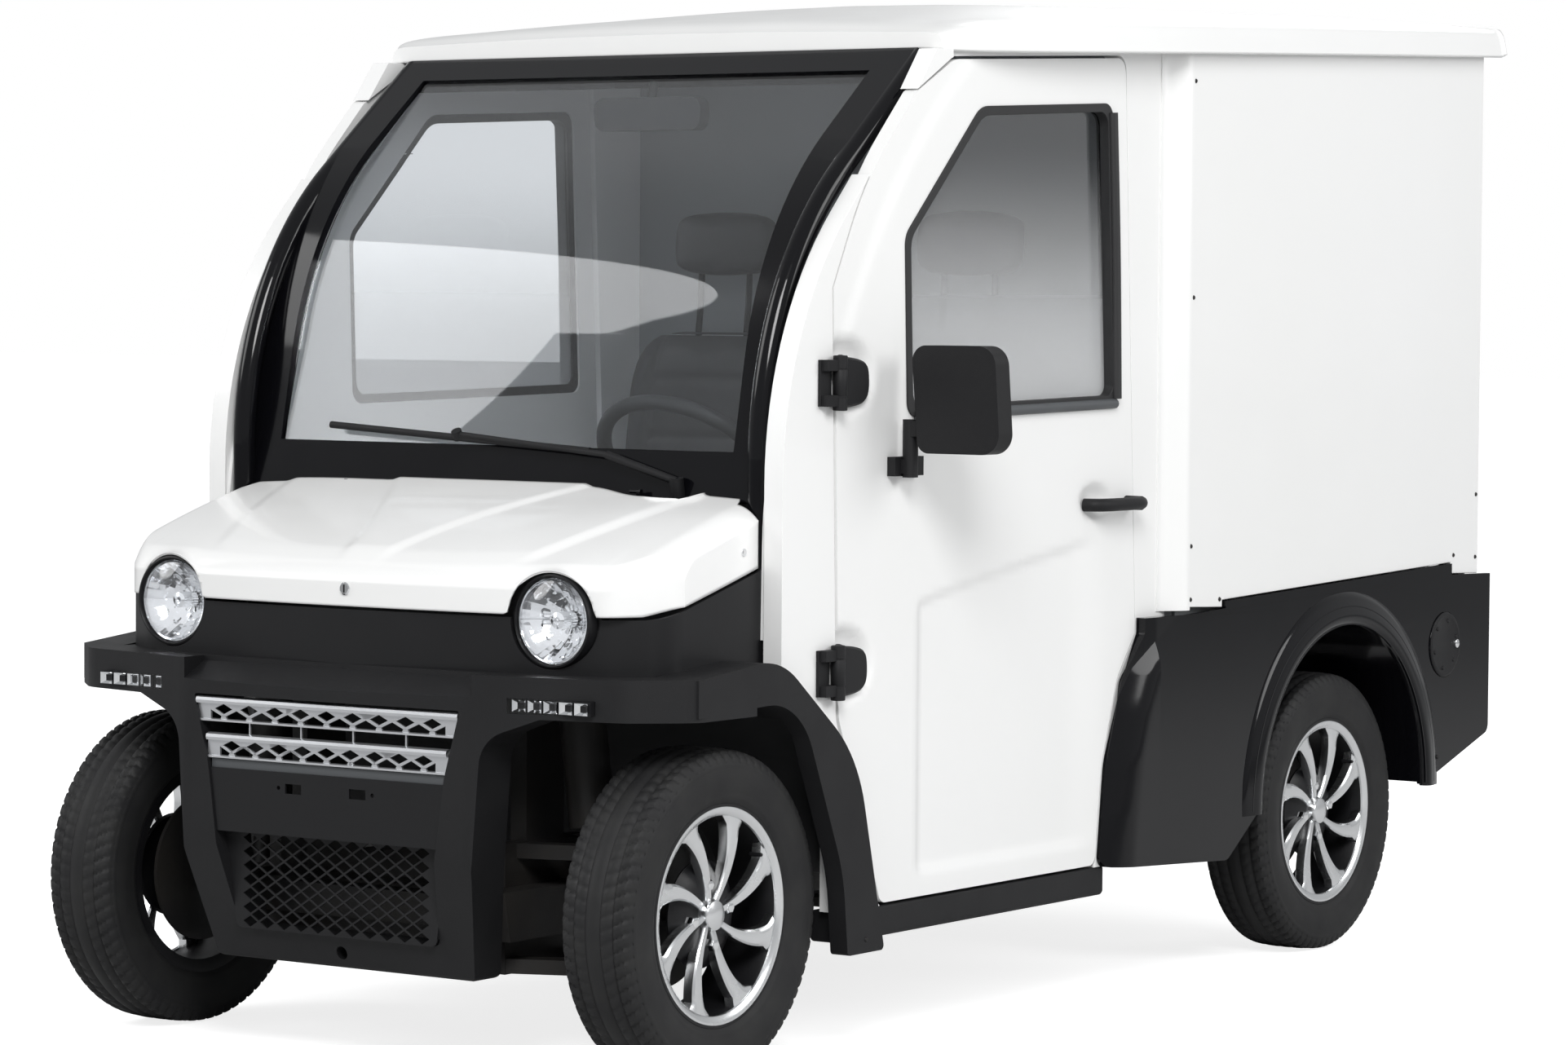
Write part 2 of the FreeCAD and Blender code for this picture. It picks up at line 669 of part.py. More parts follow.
def bumper():
    shelf = prism("z", bumper_plan(), shelf_low_z, shelf_top_z)
    slope = prism("x", [(nose_front_y, shelf_top_z - 8, 0), (bumper_front_y - 20, 600.0, 0),
                        (bumper_front_y - 20, 700.0, 0), (nose_front_y, 700.0, 0)], -300, 300)
    shelf = shelf.cut(slope)
    legs = prism("y", both_sides([
        (268.0, bumper_low_z, 12.0), (300.0, 330.0, 400.0), (316.0, 548.0, 60.0), (420.0, shelf_low_z + 1, 0),
        (420.0, shelf_low_z + 14, 0),
    ]), bumper_front_y - 10, 0)
    side_view = prism("x", [
        (leg_depth_y, 640.0, 0), (bumper_front_y + 4, 640.0, 0), (bumper_front_y, 369.0, 120.0),
        (-209.0, bumper_low_z, 12.0), (leg_foot_back_y, bumper_low_z, 10.0), (leg_depth_y, 330.0, 80.0),
    ], -500, 500)
    legs = legs.common(side_view).common(prism("z", bumper_plan(), 100, 700))
    opening = prism("y", opening_rows(), -400, 0)
    flare_rows = [
        (-128.0, shelf_top_z, 0), (95.0, 672.0, 150.0), (318.0, 500.0, 250.0), (400.0, 174.0, 8.0),
        (292.0, 174.0, 8.0), (278.0, 310.0, 300.0), (150.0, 603.0, 130.0), (-128.0, shelf_low_z + 6, 0),
    ]
    flare = prism("x", flare_rows, flare_inner_x, bumper_half_width)
    over = prism("x", flare_rows, 555.0, flare_inner_x).common(block(500, 700, -130, 149, 500, 800))
    body = join(shelf, legs, flare, over, mirror(flare), mirror(over)).cut(opening)
    inside = prism("z", nose_plan(-seat_gap, 400.0), nose_low_z, 800.0)
    body = body.cut(inside).cut(prism("z", [
        (-300, leg_depth_y, 0), (300, leg_depth_y, 0), (540, leg_depth_y + 40, 0), (540, 200, 0),
        (-540, 200, 0), (-540, leg_depth_y + 40, 0),
    ], 500, nose_low_z + 1))
    lamp_slot = block(strip_x - strip_length / 2, strip_x + strip_length / 2, -400, -220 + strip_depth,
                      strip_z - strip_height / 2, strip_z + strip_height / 2)
    tow_hole = rod(V(0, -300, 181), V(0, -100, 181), 11.0)
    nodes["front_bumper"] = body.cut(pair(lamp_slot)).cut(tow_hole)
    face = prism("z", bumper_plan(), 500, 700)
    bars = lamp_slot.common(face)
    nodes["running_lamps"] = pair(bars)


def grille():
    """Two convex bars with a row of diamonds and a row of triangles, joined by thin ties."""
    parts = []
    face_y = bumper_front_y + 16
    for k in range(2):
        top = bar_top_z - k * bar_pitch
        low = top - bar_height
        front = strip([(face_y + bar_bulge, low, 0), (face_y - bar_bulge, (low + top) / 2, 90.0),
                       (face_y + bar_bulge, top, 0)], -bar_wall)
        bar = prism("x", front, -300, 300)
        middle = top - bar_height * 0.42
        holes = []
        for i in range(diamond_count):
            x = (i - (diamond_count - 1) / 2) * diamond_pitch
            w, h = diamond_width / 2, diamond_height / 2
            holes.append(prism("y", [(x - w, middle, 1), (x, middle - h, 2), (x + w, middle, 1),
                                     (x, middle + h, 2)], face_y - 40, face_y + 40))
            x = x + diamond_pitch / 2
            if i < diamond_count - 1:
                holes.append(prism("y", [(x - w * 0.6, low + 5, 1), (x + w * 0.6, low + 5, 1),
                                         (x, middle - h * 0.45, 1)], face_y - 40, face_y + 40))
        parts.append(bar.cut(Part.makeCompound(holes)))
    lip = block(-300, 300, face_y - 6, face_y + 30, bar_top_z, opening_top_z)
    foot = block(-300, 300, face_y + 2, face_y + 30, bar_top_z - 2 * bar_pitch - 4, bar_top_z - 2 * bar_pitch + 8)
    ties = []
    for i in range(tie_count):
        x = (i - (tie_count - 1) / 2) * diamond_pitch * 2
        ties.append(block(x - tie_width / 2, x + tie_width / 2, face_y + bar_bulge, face_y + bar_bulge + 6,
                          bar_top_z - 2 * bar_pitch, bar_top_z))
    rails = [block(-300, 300, face_y + bar_bulge, face_y + bar_bulge + 5, z - 4, z + 2)
             for z in (bar_top_z, bar_top_z - bar_height, bar_top_z - bar_pitch, bar_top_z - bar_pitch - bar_height)]
    whole = join(lip, foot, *parts, *ties, *rails)
    nodes["grille"] = whole.common(prism("y", opening_rows(), -400, 0))


def plate_and_mesh():
    front = bumper_front_y + 10
    room = prism("y", opening_rows(), -400, 0)
    plate = block(-300, 300, front, front + plate_wall, plate_low_z, plate_top_z)
    plate = plate.cut(pair(block(50, 84, front - 1, front + 9, 438, 454)))
    z = (plate_low_z + plate_top_z) / 2 + 26
    screws = [rod(V(s * plate_screw_spacing / 2, front - 1, z), V(s * plate_screw_spacing / 2, front + 9, z),
                  plate_screw_radius) for s in (1, -1)]
    turn = block(-300, 300, front, front + 40, plate_low_z, plate_low_z + plate_wall)
    nodes["plate_carrier"] = join(plate, turn).cut(Part.makeCompound(screws)).common(room)
    mesh_y = front + 26
    mesh = block(-300, 300, mesh_y, mesh_y + mesh_wall, opening_low_z, plate_low_z)
    cell_h = (plate_low_z - opening_low_z) / mesh_rows
    holes = []
    columns = int(2 * 240 / mesh_pitch)
    for j in range(2 * mesh_rows - 1):
        z = opening_low_z + (j + 1) * cell_h / 2
        for i in range(-columns // 2, columns // 2 + 2):
            x = (i + 0.5 * (j % 2)) * mesh_pitch
            if abs(x) > 196:
                continue
            w, h = mesh_pitch / 2 - mesh_strand, cell_h / 2 - mesh_strand * 0.7
            holes.append(prism("y", [(x - w, z, 0), (x, z - h, 0), (x + w, z, 0), (x, z + h, 0)],
                               mesh_y - 1, mesh_y + 9))
    nodes["intake_mesh"] = mesh.cut(Part.makeCompound(holes)).common(room)


def leg_back_y(z):
    """Station of the bumper legs' rear face at height z."""
    return leg_foot_back_y + (leg_depth_y - leg_foot_back_y) * (z - bumper_low_z) / (330.0 - bumper_low_z)


def chassis():
    half = rail_width / 2
    side = [
        (leg_back_y(rail_low_z) + seat_gap, rail_low_z, 0), (kick_start_y, rail_low_z, 60.0), (kick_end_y, rail_high_z, 60.0),
        (rail_rear_y, rail_high_z, 0), (rail_rear_y, rail_high_z + rail_height, 0),
        (kick_end_y - 30, rail_high_z + rail_height, 60.0), (kick_start_y - 30, rail_low_z + rail_height, 60.0),
        (leg_back_y(rail_low_z + rail_height) + seat_gap, rail_low_z + rail_height, 0),
    ]
    rail = prism("x", side, rail_x - half, rail_x + half)
    parts = [rail, mirror(rail)]
    for y, z in ((leg_back_y(rail_low_z), rail_low_z), (480.0, rail_low_z), (1330.0, rail_low_z),
                 (2180.0, rail_high_z), (2456.0, rail_high_z)):
        parts.append(block(-rail_x, rail_x, y, y + bearer_width, z + 14, z + rail_height - 14))
    for y in (kick_end_y - 20, 1840.0, 2130.0, 2440.0):
        top = box_floor_z
        parts.append(block(-box_half_width + 50, box_half_width - 50, y, y + bearer_width, top - 44, top))
        for s in (1, -1):
            x = s * rail_x
            parts.append(block(x - 20, x + 20, y, y + bearer_width, rail_high_z + rail_height - 2, top - 40))
    for y in (500.0, 1060.0):
        for s in (1, -1):
            x0, x1 = sorted((s * (rail_x + half - 2), s * (side_x - sill_width)))
            parts.append(block(x0, x1, y, y + bearer_width, rail_low_z + 4, sill_top_z - 4))
    hitch = block(-130, 130, rail_rear_y - 10, rail_rear_y, rail_high_z, rail_high_z + rail_height)
    frame = join(*parts, hitch)
    holes = [rod(V(x, rail_rear_y - 20, z), V(x, rail_rear_y + 10, z), 6.5)
             for x in (-90.0, 90.0) for z in (rail_high_z + 15, rail_high_z + 65)]
    nodes["chassis_frame"] = frame.cut(Part.makeCompound(holes))


def front_suspension():
    parts = [block(-rail_x + 25, rail_x - 25, -42, 42, rail_low_z - 50, rail_low_z + 60)]
    for s in (1, -1):
        for z, tip, base in ((lower_arm_z, 30.0, 110.0), (upper_arm_z, 24.0, 80.0)):
            rows = [(s * (steer_axis_x + 14), -tip / 2, 10), (s * (steer_axis_x + 14), tip / 2, 10),
                    (s * 235, base, 10), (s * 235, base - 34, 4), (s * (steer_axis_x - 70), 0, 8),
                    (s * 235, -base + 34, 4), (s * 235, -base, 10)]
            parts.append(prism("z", rows, z - arm_thickness / 2, z + arm_thickness / 2))
        post_x = s * 236.0
        x0, x1 = sorted((post_x - s * 12, post_x + s * 12))
        parts.append(block(x0, x1, -106, 106, lower_arm_z - 14, upper_arm_z + 14))
        foot = V(s * 372, 0, lower_arm_z)
        top = V(s * 318, 0, coil_top_z)
        parts.append(rod(foot, top, 17.0))
        axis = top - foot
        axis.normalize()
        parts.append(rod(top - axis * 210, top, coil_radius))
        parts.append(block(min(s * 215, s * 355), max(s * 215, s * 355), -50, 50, coil_top_z - 12, coil_top_z + 4))
        parts.append(block(min(s * 215, s * 247), max(s * 215, s * 247), -50, 50, rail_low_z, coil_top_z))
    nodes["front_suspension"] = join(*parts).cut(Part.makeCompound([
        block(rail_x - rail_width / 2, rail_x + rail_width / 2, -300, 300, rail_low_z, rail_low_z + rail_height),
        block(-rail_x - rail_width / 2, -rail_x + rail_width / 2, -300, 300, rail_low_z, rail_low_z + rail_height),
    ]))


def knuckle(side):
    s = 1 if side == "left" else -1
    half = upright_width / 2
    low = lower_arm_z + arm_thickness / 2 + seat_gap
    high = upper_arm_z - arm_thickness / 2 - seat_gap
    upright = rod(V(s * steer_axis_x, 0, low), V(s * steer_axis_x, 0, high), half)
    inner_face = track / 2 - tyre_width / 2
    plate_x = inner_face + 22
    stub = rod(V(s * steer_axis_x, 0, tyre_radius), V(s * (track / 2 + 10), 0, tyre_radius), 17.0)
    flange = rod(V(s * (plate_x - 6), 0, tyre_radius), V(s * plate_x, 0, tyre_radius), drum_radius + 6)
    boss = rod(V(s * steer_axis_x, 0, tyre_radius), V(s * plate_x, 0, tyre_radius), 34.0)
    arm = block(min(s * (steer_axis_x - 14), s * (steer_axis_x + 8)), max(s * (steer_axis_x - 14), s * (steer_axis_x + 8)),
                0, 118, 226, 244)
    nodes["knuckle_" + side] = join(upright, stub, flange, boss, arm)


def rear_axle():
    z = tyre_radius
    inner_face = track / 2 - tyre_width / 2
    plate_x = inner_face + 22
    tube = rod(V(-plate_x, wheelbase, z), V(plate_x, wheelbase, z), axle_tube_radius)
    plates = [rod(V(s * (plate_x - 6), wheelbase, z), V(s * plate_x, wheelbase, z), drum_radius + 6) for s in (1, -1)]
    stubs = [rod(V(s * plate_x, wheelbase, z), V(s * (track / 2 + 10), wheelbase, z), 17.0) for s in (1, -1)]
    diff = Part.Face(outline("y", [
        (-diff_radius, 0, 0), (-diff_radius, diff_radius * 0.5, 10), (-diff_radius * 0.5, diff_radius, 40),
        (diff_radius * 0.5, diff_radius, 40), (diff_radius, diff_radius * 0.5, 10), (diff_radius, 0, 0),
    ])).revolve(V(0, 0, 0), V(1, 0, 0), 360)
    diff.translate(V(60, wheelbase, z))
    motor = rod(V(60, wheelbase - 70, z), V(60, wheelbase - 60 - motor_length, z), motor_radius)
    parts = [tube, diff, motor] + plates + stubs
    for s in (1, -1):
        x = s * rail_x
        seat_z = z + axle_tube_radius
        leaf = prism("x", strip([
            (wheelbase - spring_half_length, rail_high_z - 14 - spring_thickness, 0), (wheelbase, seat_z - 8, 2200.0),
            (wheelbase + spring_half_length, rail_high_z - 14 - spring_thickness, 0),
        ], spring_thickness), x - spring_width / 2, x + spring_width / 2)
        clamp = block(x - 32, x + 32, wheelbase - 48, wheelbase + 48, z - axle_tube_radius - 10, z + axle_tube_radius + 34)
        parts += [leaf, clamp]
        for end in (-1, 1):
            y = wheelbase + end * (spring_half_length - 14)
            parts.append(block(x - 25, x + 25, y - 14, y + 14, rail_high_z - 18, rail_high_z - seat_gap))
    nodes["rear_axle"] = join(*parts)


def tyre_at(x, y, side):
    """Tyre from its section turned about the axle: tread, shoulders and beads."""
    half = tyre_width / 2
    s = 1 if side == "left" else -1
    bead = rim_width / 2 - 14
    rows = [
        (-half + 12, tyre_radius - 4, 16), (-half + 30, tyre_radius, 60), (half - 30, tyre_radius, 60),
        (half - 12, tyre_radius - 4, 16), (half, tyre_radius - 50, 60), (bead + 8, rim_flange_radius + 8, 6),
        (bead, rim_flange_radius - 2, 6), (bead, bead_radius + seat_gap, 0), (bead - 12, bead_radius + seat_gap, 0),
        (half - 16, tyre_radius - 50, 50), (half - 30, tyre_radius - 16, 10),
        (-half + 30, tyre_radius - 16, 10), (-half + 16, tyre_radius - 50, 50),
        (-bead + 12, bead_radius + seat_gap, 0), (-bead, bead_radius + seat_gap, 0),
        (-bead, rim_flange_radius - 2, 6), (-bead - 8, rim_flange_radius + 8, 6), (-half, tyre_radius - 50, 60),
    ]
    face = Part.Face(outline("y", [(u, v, r) for u, v, r in rows], 0.0))
    solid = face.revolve(V(0, 0, 0), V(1, 0, 0), 360)
    solid.translate(V(s * x, y, tyre_radius))
    return solid


def rim_at(x, y, side):
    """Alloy wheel: barrel, swept tapered spokes, hub and cap, with the brake drum behind."""
    half = rim_width / 2
    outboard = tyre_width / 2 - face_inset
    barrel = [
        (-half, rim_flange_radius - 4, 0), (-half, rim_flange_radius, 2), (-half + 8, rim_flange_radius, 3),
        (-half + 9, bead_radius, 4), (half - 9, bead_radius, 4), (half - 8, rim_flange_radius, 3),
        (outboard, rim_flange_radius, 2), (outboard, rim_flange_radius - 22, 4), (half - 16, bead_radius - 8, 6),
        (-half + 16, bead_radius - 8, 6),
    ]
    shape = Part.Face(outline("y", barrel, 0.0)).revolve(V(0, 0, 0), V(1, 0, 0), 360)
    back = outboard - 14 - spoke_thickness
    hub = rod(V(back, 0, 0), V(outboard - 14, 0, 0), hub_radius)
    cap = rod(V(back, 0, 0), V(outboard - 4, 0, 0), cap_radius)
    reach = rim_flange_radius - 18
    tip = math.radians(spoke_sweep_deg)
    spokes = []
    for i in range(spoke_count):
        rows = []
        for r, w, turn in ((hub_radius - 12, -spoke_hub_width / 2, 0), ((reach + hub_radius) / 2, -spoke_hub_width / 2, 0.35),
                           (reach, -spoke_tip_width / 2, 1), (reach, spoke_tip_width / 2, 1),
                           ((reach + hub_radius) / 2, spoke_hub_width / 2 - 6, 0.35), (hub_radius - 12, spoke_hub_width / 2, 0)):
            a = tip * turn + 2 * math.pi * i / spoke_count
            rows.append((r * math.cos(a) - w * math.sin(a), r * math.sin(a) + w * math.cos(a),
                         160.0 if turn == 0.35 else 0))
        spokes.append(prism("x", rows, outboard - 8 - spoke_thickness, outboard - 8))
    seat = rod(V(-rim_width, 0, 0), V(rim_width, 0, 0), rim_flange_radius - 10)
    shape = join(shape, hub, cap, *[s.common(seat) for s in spokes])
    drum_in = -half + 22 - (rim_width - tyre_width) / 2
    drum = rod(V(tyre_width / -2 + 22 + 1.5, 0, 0), V(back + 2, 0, 0), drum_radius - 22)
    rib = rod(V(tyre_width / -2 + 22 + 1.5, 0, 0), V(tyre_width / -2 + 22 + drum_depth, 0, 0), drum_radius)
    bore = rod(V(-rim_width, 0, 0), V(10 + seat_gap, 0, 0), 17.06)
    shape = join(shape, drum, rib).cut(bore)
    if side == "right":
        shape = mirror(shape)
        x = -x
    shape.translate(V(x, y, tyre_radius))
    return shape


def wheels():
    for end, y in (("front", 0.0), ("rear", wheelbase)):
        for side in ("left", "right"):
            nodes["tyre_" + end + "_" + side] = tyre_at(track / 2, y, side)
            nodes["rim_" + end + "_" + side] = rim_at(track / 2, y, side)


def cab_structure(under):
    inside = side_x - door_thickness - 8 - seat_gap
    rows = strip([
        (bulkhead_y - seat_gap, cab_floor_z, 0), (floor_front_y, cab_floor_z, 30), (floor_front_y, 470.0, 60),
        (firewall_y, 640.0, 60), (firewall_y, 880.0, 0),
    ], -floor_thickness)
    pan = prism("x", rows, -inside, inside)
    nodes["cab_floor"] = pan
    wall = block(-side_x + 3, side_x - 3, bulkhead_y, bulkhead_y + bulkhead_thickness, cab_floor_z + seat_gap, 1900)
    nodes["bulkhead"] = wall.common(under)
    sill = prism("y", [(side_x - sill_width, sill_low_z, 6), (side_x - 2, sill_low_z, 10),
                       (side_x - 2, sill_top_z - seat_gap, 4), (side_x - sill_width, sill_top_z - seat_gap, 4)],
                 330.0, 1160.0)
    nodes["sills"] = pair(sill)
    battery = block(-battery_half_width, battery_half_width, seat_front_y + 30, seat_rear_y + 120,
                    cab_floor_z + floor_thickness, seat_low_z - seat_gap)
    nodes["battery_block"] = battery


def seats():
    cushions, backs = [], []
    for s in (1, -1):
        x0, x1 = s * seat_x - seat_width / 2, s * seat_x + seat_width / 2
        cushion = prism("x", [
            (seat_front_y, seat_low_z, 10), (seat_front_y - 10, seat_low_z + cushion_thickness, 50),
            (seat_rear_y - 20, seat_low_z + cushion_thickness - 16, 20), (seat_rear_y - 20, seat_low_z, 10),
        ], x0, x1)
        cushions.append(cushion)
        foot_y = seat_rear_y - 18
        lean = 78.0
        back = prism("x", [
            (foot_y, seat_low_z, 20), (foot_y + lean, back_top_z, 50),
            (foot_y + lean + back_thickness * 0.7, back_top_z, 40), (foot_y + back_thickness + 20, seat_low_z, 20),
        ], x0 + 6, x1 - 6)
        rest_y = foot_y + lean + 8
        rest = prism("x", [
            (rest_y, headrest_low_z, 20), (rest_y + 12, headrest_top_z, 26),
            (rest_y + 74, headrest_top_z, 26), (rest_y + 70, headrest_low_z, 20),
        ], s * seat_x - headrest_width / 2, s * seat_x + headrest_width / 2)
        posts = [rod(V(s * seat_x + dx, rest_y + 36, back_top_z - 30), V(s * seat_x + dx, rest_y + 36, headrest_low_z + 20), 6.0)
                 for dx in (-55, 55)]
        backs.append(join(back, rest, *posts))
    nodes["seat_cushions"] = Part.makeCompound(cushions)
    nodes["seat_backs"] = Part.makeCompound(backs)


def dashboard():
    inside = side_x - door_thickness - 8 - seat_gap
    rows = [
        (firewall_y + floor_thickness + seat_gap, 700.0, 20), (firewall_y + floor_thickness + seat_gap, 905.0, 0),
        (firewall_y + 30, 925.0, 10), (332.0, 905.0, 30), (345.0, 830.0, 20), (300.0, 700.0, 30),
    ]
    dash = prism("x", rows, -inside, inside)
    tilt = math.radians(wheel_tilt_deg)
    axis = V(0, -math.cos(tilt), -math.sin(tilt))
    hub = V(wheel_x, wheel_y, wheel_z)
    start = hub + axis * (32 + seat_gap)
    end = hub + axis * column_length
    column = join(rod(start, end, column_radius), rod(hub + axis * 60, hub + axis * 150, 40.0))
    tunnel = join(rod(start, end, column_radius + seat_gap), rod(hub + axis * 60, hub + axis * 150, 40.0 + seat_gap))
    nodes["dashboard"] = dash.cut(tunnel)
    nodes["steering_column"] = column.cut(nodes["cab_floor"]).common(block(-700, 700, firewall_y + floor_thickness, 900, 300, 1300))
    ring = Part.makeTorus(wheel_ring_radius, wheel_ring_section, hub, axis)
    boss = rod(hub - axis * 6, hub + axis * 32, 44.0)
    spokes = []
    across = V(1, 0, 0)
    down = axis.cross(across)
    for a in (0, 180, 270):
        d = across * math.cos(math.radians(a)) + down * math.sin(math.radians(a))
        spokes.append(rod(hub + d * 20 + axis * 8, hub + d * (wheel_ring_radius - 3), 9.0))
    nodes["steering_wheel"] = join(ring, boss, *spokes)
    glass = prism("y", [(-112, 1532, 20), (112, 1532, 20), (118, 1590, 22), (-118, 1590, 22)], 606.0, 634.0)
    stem = rod(V(0, 620, 1585), V(0, 636, 1638), 8.0)
    nodes["interior_mirror"] = join(glass, stem).cut(nodes["windscreen_frame"])


def wiper():
    pivot = V(384.0, 176.0, 905.0)
    shaft = rod(pivot, V(384.0, 168.0, 950.0), 12.0)
    elbow = V(240.0, 172.0, 985.0)
    arm = rod(V(384.0, 170.0, 945.0), elbow, 7.0)
    mid = V(-80.0, 178.0, 1012.0)
    reach = rod(elbow, mid, 5.0)
    ends = (V(200.0, 190.0 - 12, 990.0), V(-360.0, 190.0 - 6, 1022.0))
    blade = rod(ends[0], ends[1], 6.0)
    clip = rod(mid + V(0, -3, 6), V(-80.0, 184.0, 1004.0), 9.0)
    nodes["wiper"] = join(shaft, arm, reach, clip, blade).cut(nodes["windscreen_frame"])


def cargo(under):
    inner = box_half_width - box_wall
    side = prism("x", [
        (bulkhead_y + bulkhead_thickness - 2, 690.0, 0), (1520.0, 684.0, 0), (1520.0, 697.0, 0), (2434.0, 728.0, 0),
        (2434.0, 706.0, 0), (box_rear_y, 702.0, 0), (box_rear_y, 1850.0, 0),
        (bulkhead_y + bulkhead_thickness - 2, 1850.0, 0),
    ], inner, box_half_width).common(under)
    nodes["cargo_sides"] = pair(side)
    front = bulkhead_y + bulkhead_thickness
    nodes["cargo_floor"] = block(-inner, inner, front, box_rear_y - 30, box_floor_z,
                                 box_floor_z + box_floor_thickness)
    portal = block(-inner, inner, box_rear_y - 30, box_rear_y, box_floor_z - 10, 1900).common(under)
    portal = portal.cut(block(-rear_opening_half_width, rear_opening_half_width, 2000, 3000,
                              rear_opening_low_z, rear_opening_high_z))
    pins = []
    for s in (1, -1):
        for z in (900.0, 1500.0):
            x = s * (rear_opening_half_width + 14)
            y = box_rear_y + rear_hinge_standoff
            pins.append(rod(V(x, y, z - 45), V(x, y, z - 15.5), 8.0))
            pins.append(block(x - 6, x + 6, box_rear_y - 1, y, z - 45, z - 15.5))
            pins.append(rod(V(x, y, z - 45), V(x, y, z + 30), 5.0))
    nodes["rear_portal"] = join(portal, *pins)
    for side_name, s in (("left", 1), ("right", -1)):
        x0 = s * 2.5
        x1 = s * (rear_opening_half_width - panel_gap)
        leaf = block(min(x0, x1), max(x0, x1), box_rear_y - rear_door_thickness, box_rear_y,
                     rear_opening_low_z + panel_gap, rear_opening_high_z - panel_gap)
        parts = [leaf]
        for z in (900.0, 1500.0):
            x = s * (rear_opening_half_width + 14)
            y = box_rear_y + rear_hinge_standoff
            parts.append(rod(V(x, y, z - 15), V(x, y, z + 30), 8.0))
            a, b = sorted((s * 470.0, x))
            parts.append(block(a, b, box_rear_y, box_rear_y + 6, z - 15, z + 30))
        body = join(*parts)
        for z in (900.0, 1500.0):
            x = s * (rear_opening_half_width + 14)
            y = box_rear_y + rear_hinge_standoff
            body = body.cut(rod(V(x, y, z - 16), V(x, y, z + 31), 5.06))
        if s == 1:
            body = join(body, block(20, 60, box_rear_y, box_rear_y + 26, 1080, 1240))
        nodes["rear_door_" + side_name] = body
    lamps = block(582, 612, box_rear_y + seat_gap, box_rear_y + 9, 730, 850)
    nodes["tail_lamps"] = pair(lamps)


def rear_body():
    inner = fender_x - fender_wall
    gap = panel_gap
    front = door_rows(gap)[7:]
    front = [(front[0][0] + 2, 676.0, 0)] + [(u + 2, v, r) for u, v, r in front]
    front = [(u, v if v > 230 else 217.0, r) for u, v, r in front]
    panel_rows = front + [
        (1540.0, 217.0, 30.0), (1660.0, arch_z, 0), (arch_y + arch_radius - 2, arch_z, 0), (2270.0, 283.0, 12.0),
        (2596.0, 383.0, 20.0), (roof_rear_y - 4, 700.0, 0),
        (2434.0 - gap, 704.0, 0), (2434.0 - gap, 726.0, 0), (1520.0 + gap, 695.0, 0), (1520.0 + gap, 682.0, 0),
        (1390.0, 676.0, 0),
    ]
    panel = prism("x", panel_rows, inner, fender_x)
    arch = rod(V(500, arch_y, arch_z), V(700, arch_y, arch_z), arch_radius)
    below = block(500, 700, arch_y - arch_radius, arch_y + arch_radius, 0, arch_z)
    lip = rod(V(inner, arch_y, arch_z), V(fender_x + arch_lip_stand, arch_y, arch_z), arch_radius + arch_lip)
    lip = lip.common(block(500, 700, 1000, 3000, arch_z, 1000))
    tub = rod(V(tub_inner_x, arch_y, arch_z), V(inner + 1, arch_y, arch_z), arch_radius + skin)
    tub = tub.common(block(400, 700, 1000, 3000, arch_z, 1000))
    tub = tub.cut(rod(V(tub_inner_x + skin, arch_y, arch_z), V(inner + 2, arch_y, arch_z), arch_radius))
    fold = prism("z", [
        (side_x - 2, 1180.0, 0), (side_x - 2, 1130.0, 0), (fender_x, 1330.0, 0), (fender_x, 1400.0, 0), (600.0, 1400.0, 0),
    ], 200, 690)
    ramp = prism("z", [(side_x + 6, 1100.0, 0), (fender_x + 1, 1300.0, 0), (700.0, 1300.0, 0), (700.0, 1100.0, 0)], 100, 800)
    front_wall = prism("x", front + [(1540.0, 217.0, 30.0), (1540.0, 676.0, 0)], side_x - 1.5, fender_x).cut(ramp)
    hollow = prism("z", [(side_x - 12, 1100.0, 0), (fender_x - fender_wall - 6, 1262.0, 0), (inner, 1300.0, 0),
                         (inner, 1600.0, 0), (side_x - 12, 1600.0, 0)], 100, 800)
    front_wall = front_wall.cut(hollow)
    skirt = join(panel.cut(ramp), front_wall, lip).cut(arch).cut(below)
    cup = rod(V(inner - 34, charge_y, charge_z), V(inner, charge_y, charge_z), charge_radius - 2)
    travel = block(tub_inner_x - 1, tub_inner_x + skin, wheelbase - 60, wheelbase + 60, arch_z - 1, arch_z + 90)
    skirt = join(skirt, tub.cut(travel), cup)
    pocket = rod(V(inner - 30, charge_y, charge_z), V(fender_x + 1, charge_y, charge_z), charge_radius - 8)
    rebate = rod(V(fender_x - 4, charge_y, charge_z), V(fender_x + 1, charge_y, charge_z), charge_radius + 1.5)
    skirt = skirt.cut(pocket).cut(rebate)
    shelf = block(box_half_width - 50, inner + 1, bulkhead_y + bulkhead_thickness, 1500, box_floor_z - 8, box_floor_z - seat_gap)
    rear_stay = block(box_half_width - 50, inner + 1, 2400, box_rear_y - 40, box_floor_z - 8, box_floor_z - seat_gap)
    skirt = join(skirt, shelf, rear_stay)
    nodes["rear_fenders"] = pair(skirt)
    lid = rod(V(fender_x - 4 + seat_gap, charge_y, charge_z), V(fender_x + 2, charge_y, charge_z), charge_radius)
    latch = rod(V(fender_x + 1, charge_y + 44, charge_z), V(fender_x + 4, charge_y + 44, charge_z), 7.0)
    nodes["charging_lid"] = join(lid, latch)
    width = fender_x - fender_wall - seat_gap
    bumper_rows = [
        (box_rear_y + 2, 398.0, 12), (roof_rear_y - 6, 398.0, 20), (roof_rear_y - 4, 640.0, 14),
        (roof_rear_y - 4 - rear_bumper_depth, 655.0, 4),
    ]
    bar = prism("x", bumper_rows, -width, width)
    brackets = [block(s * rail_x - 22, s * rail_x + 22, rail_rear_y + seat_gap, box_rear_y + 12, rail_high_z + 20, rail_high_z + 70)
                for s in (1, -1)]
    nodes["rear_bumper"] = join(bar, *brackets)


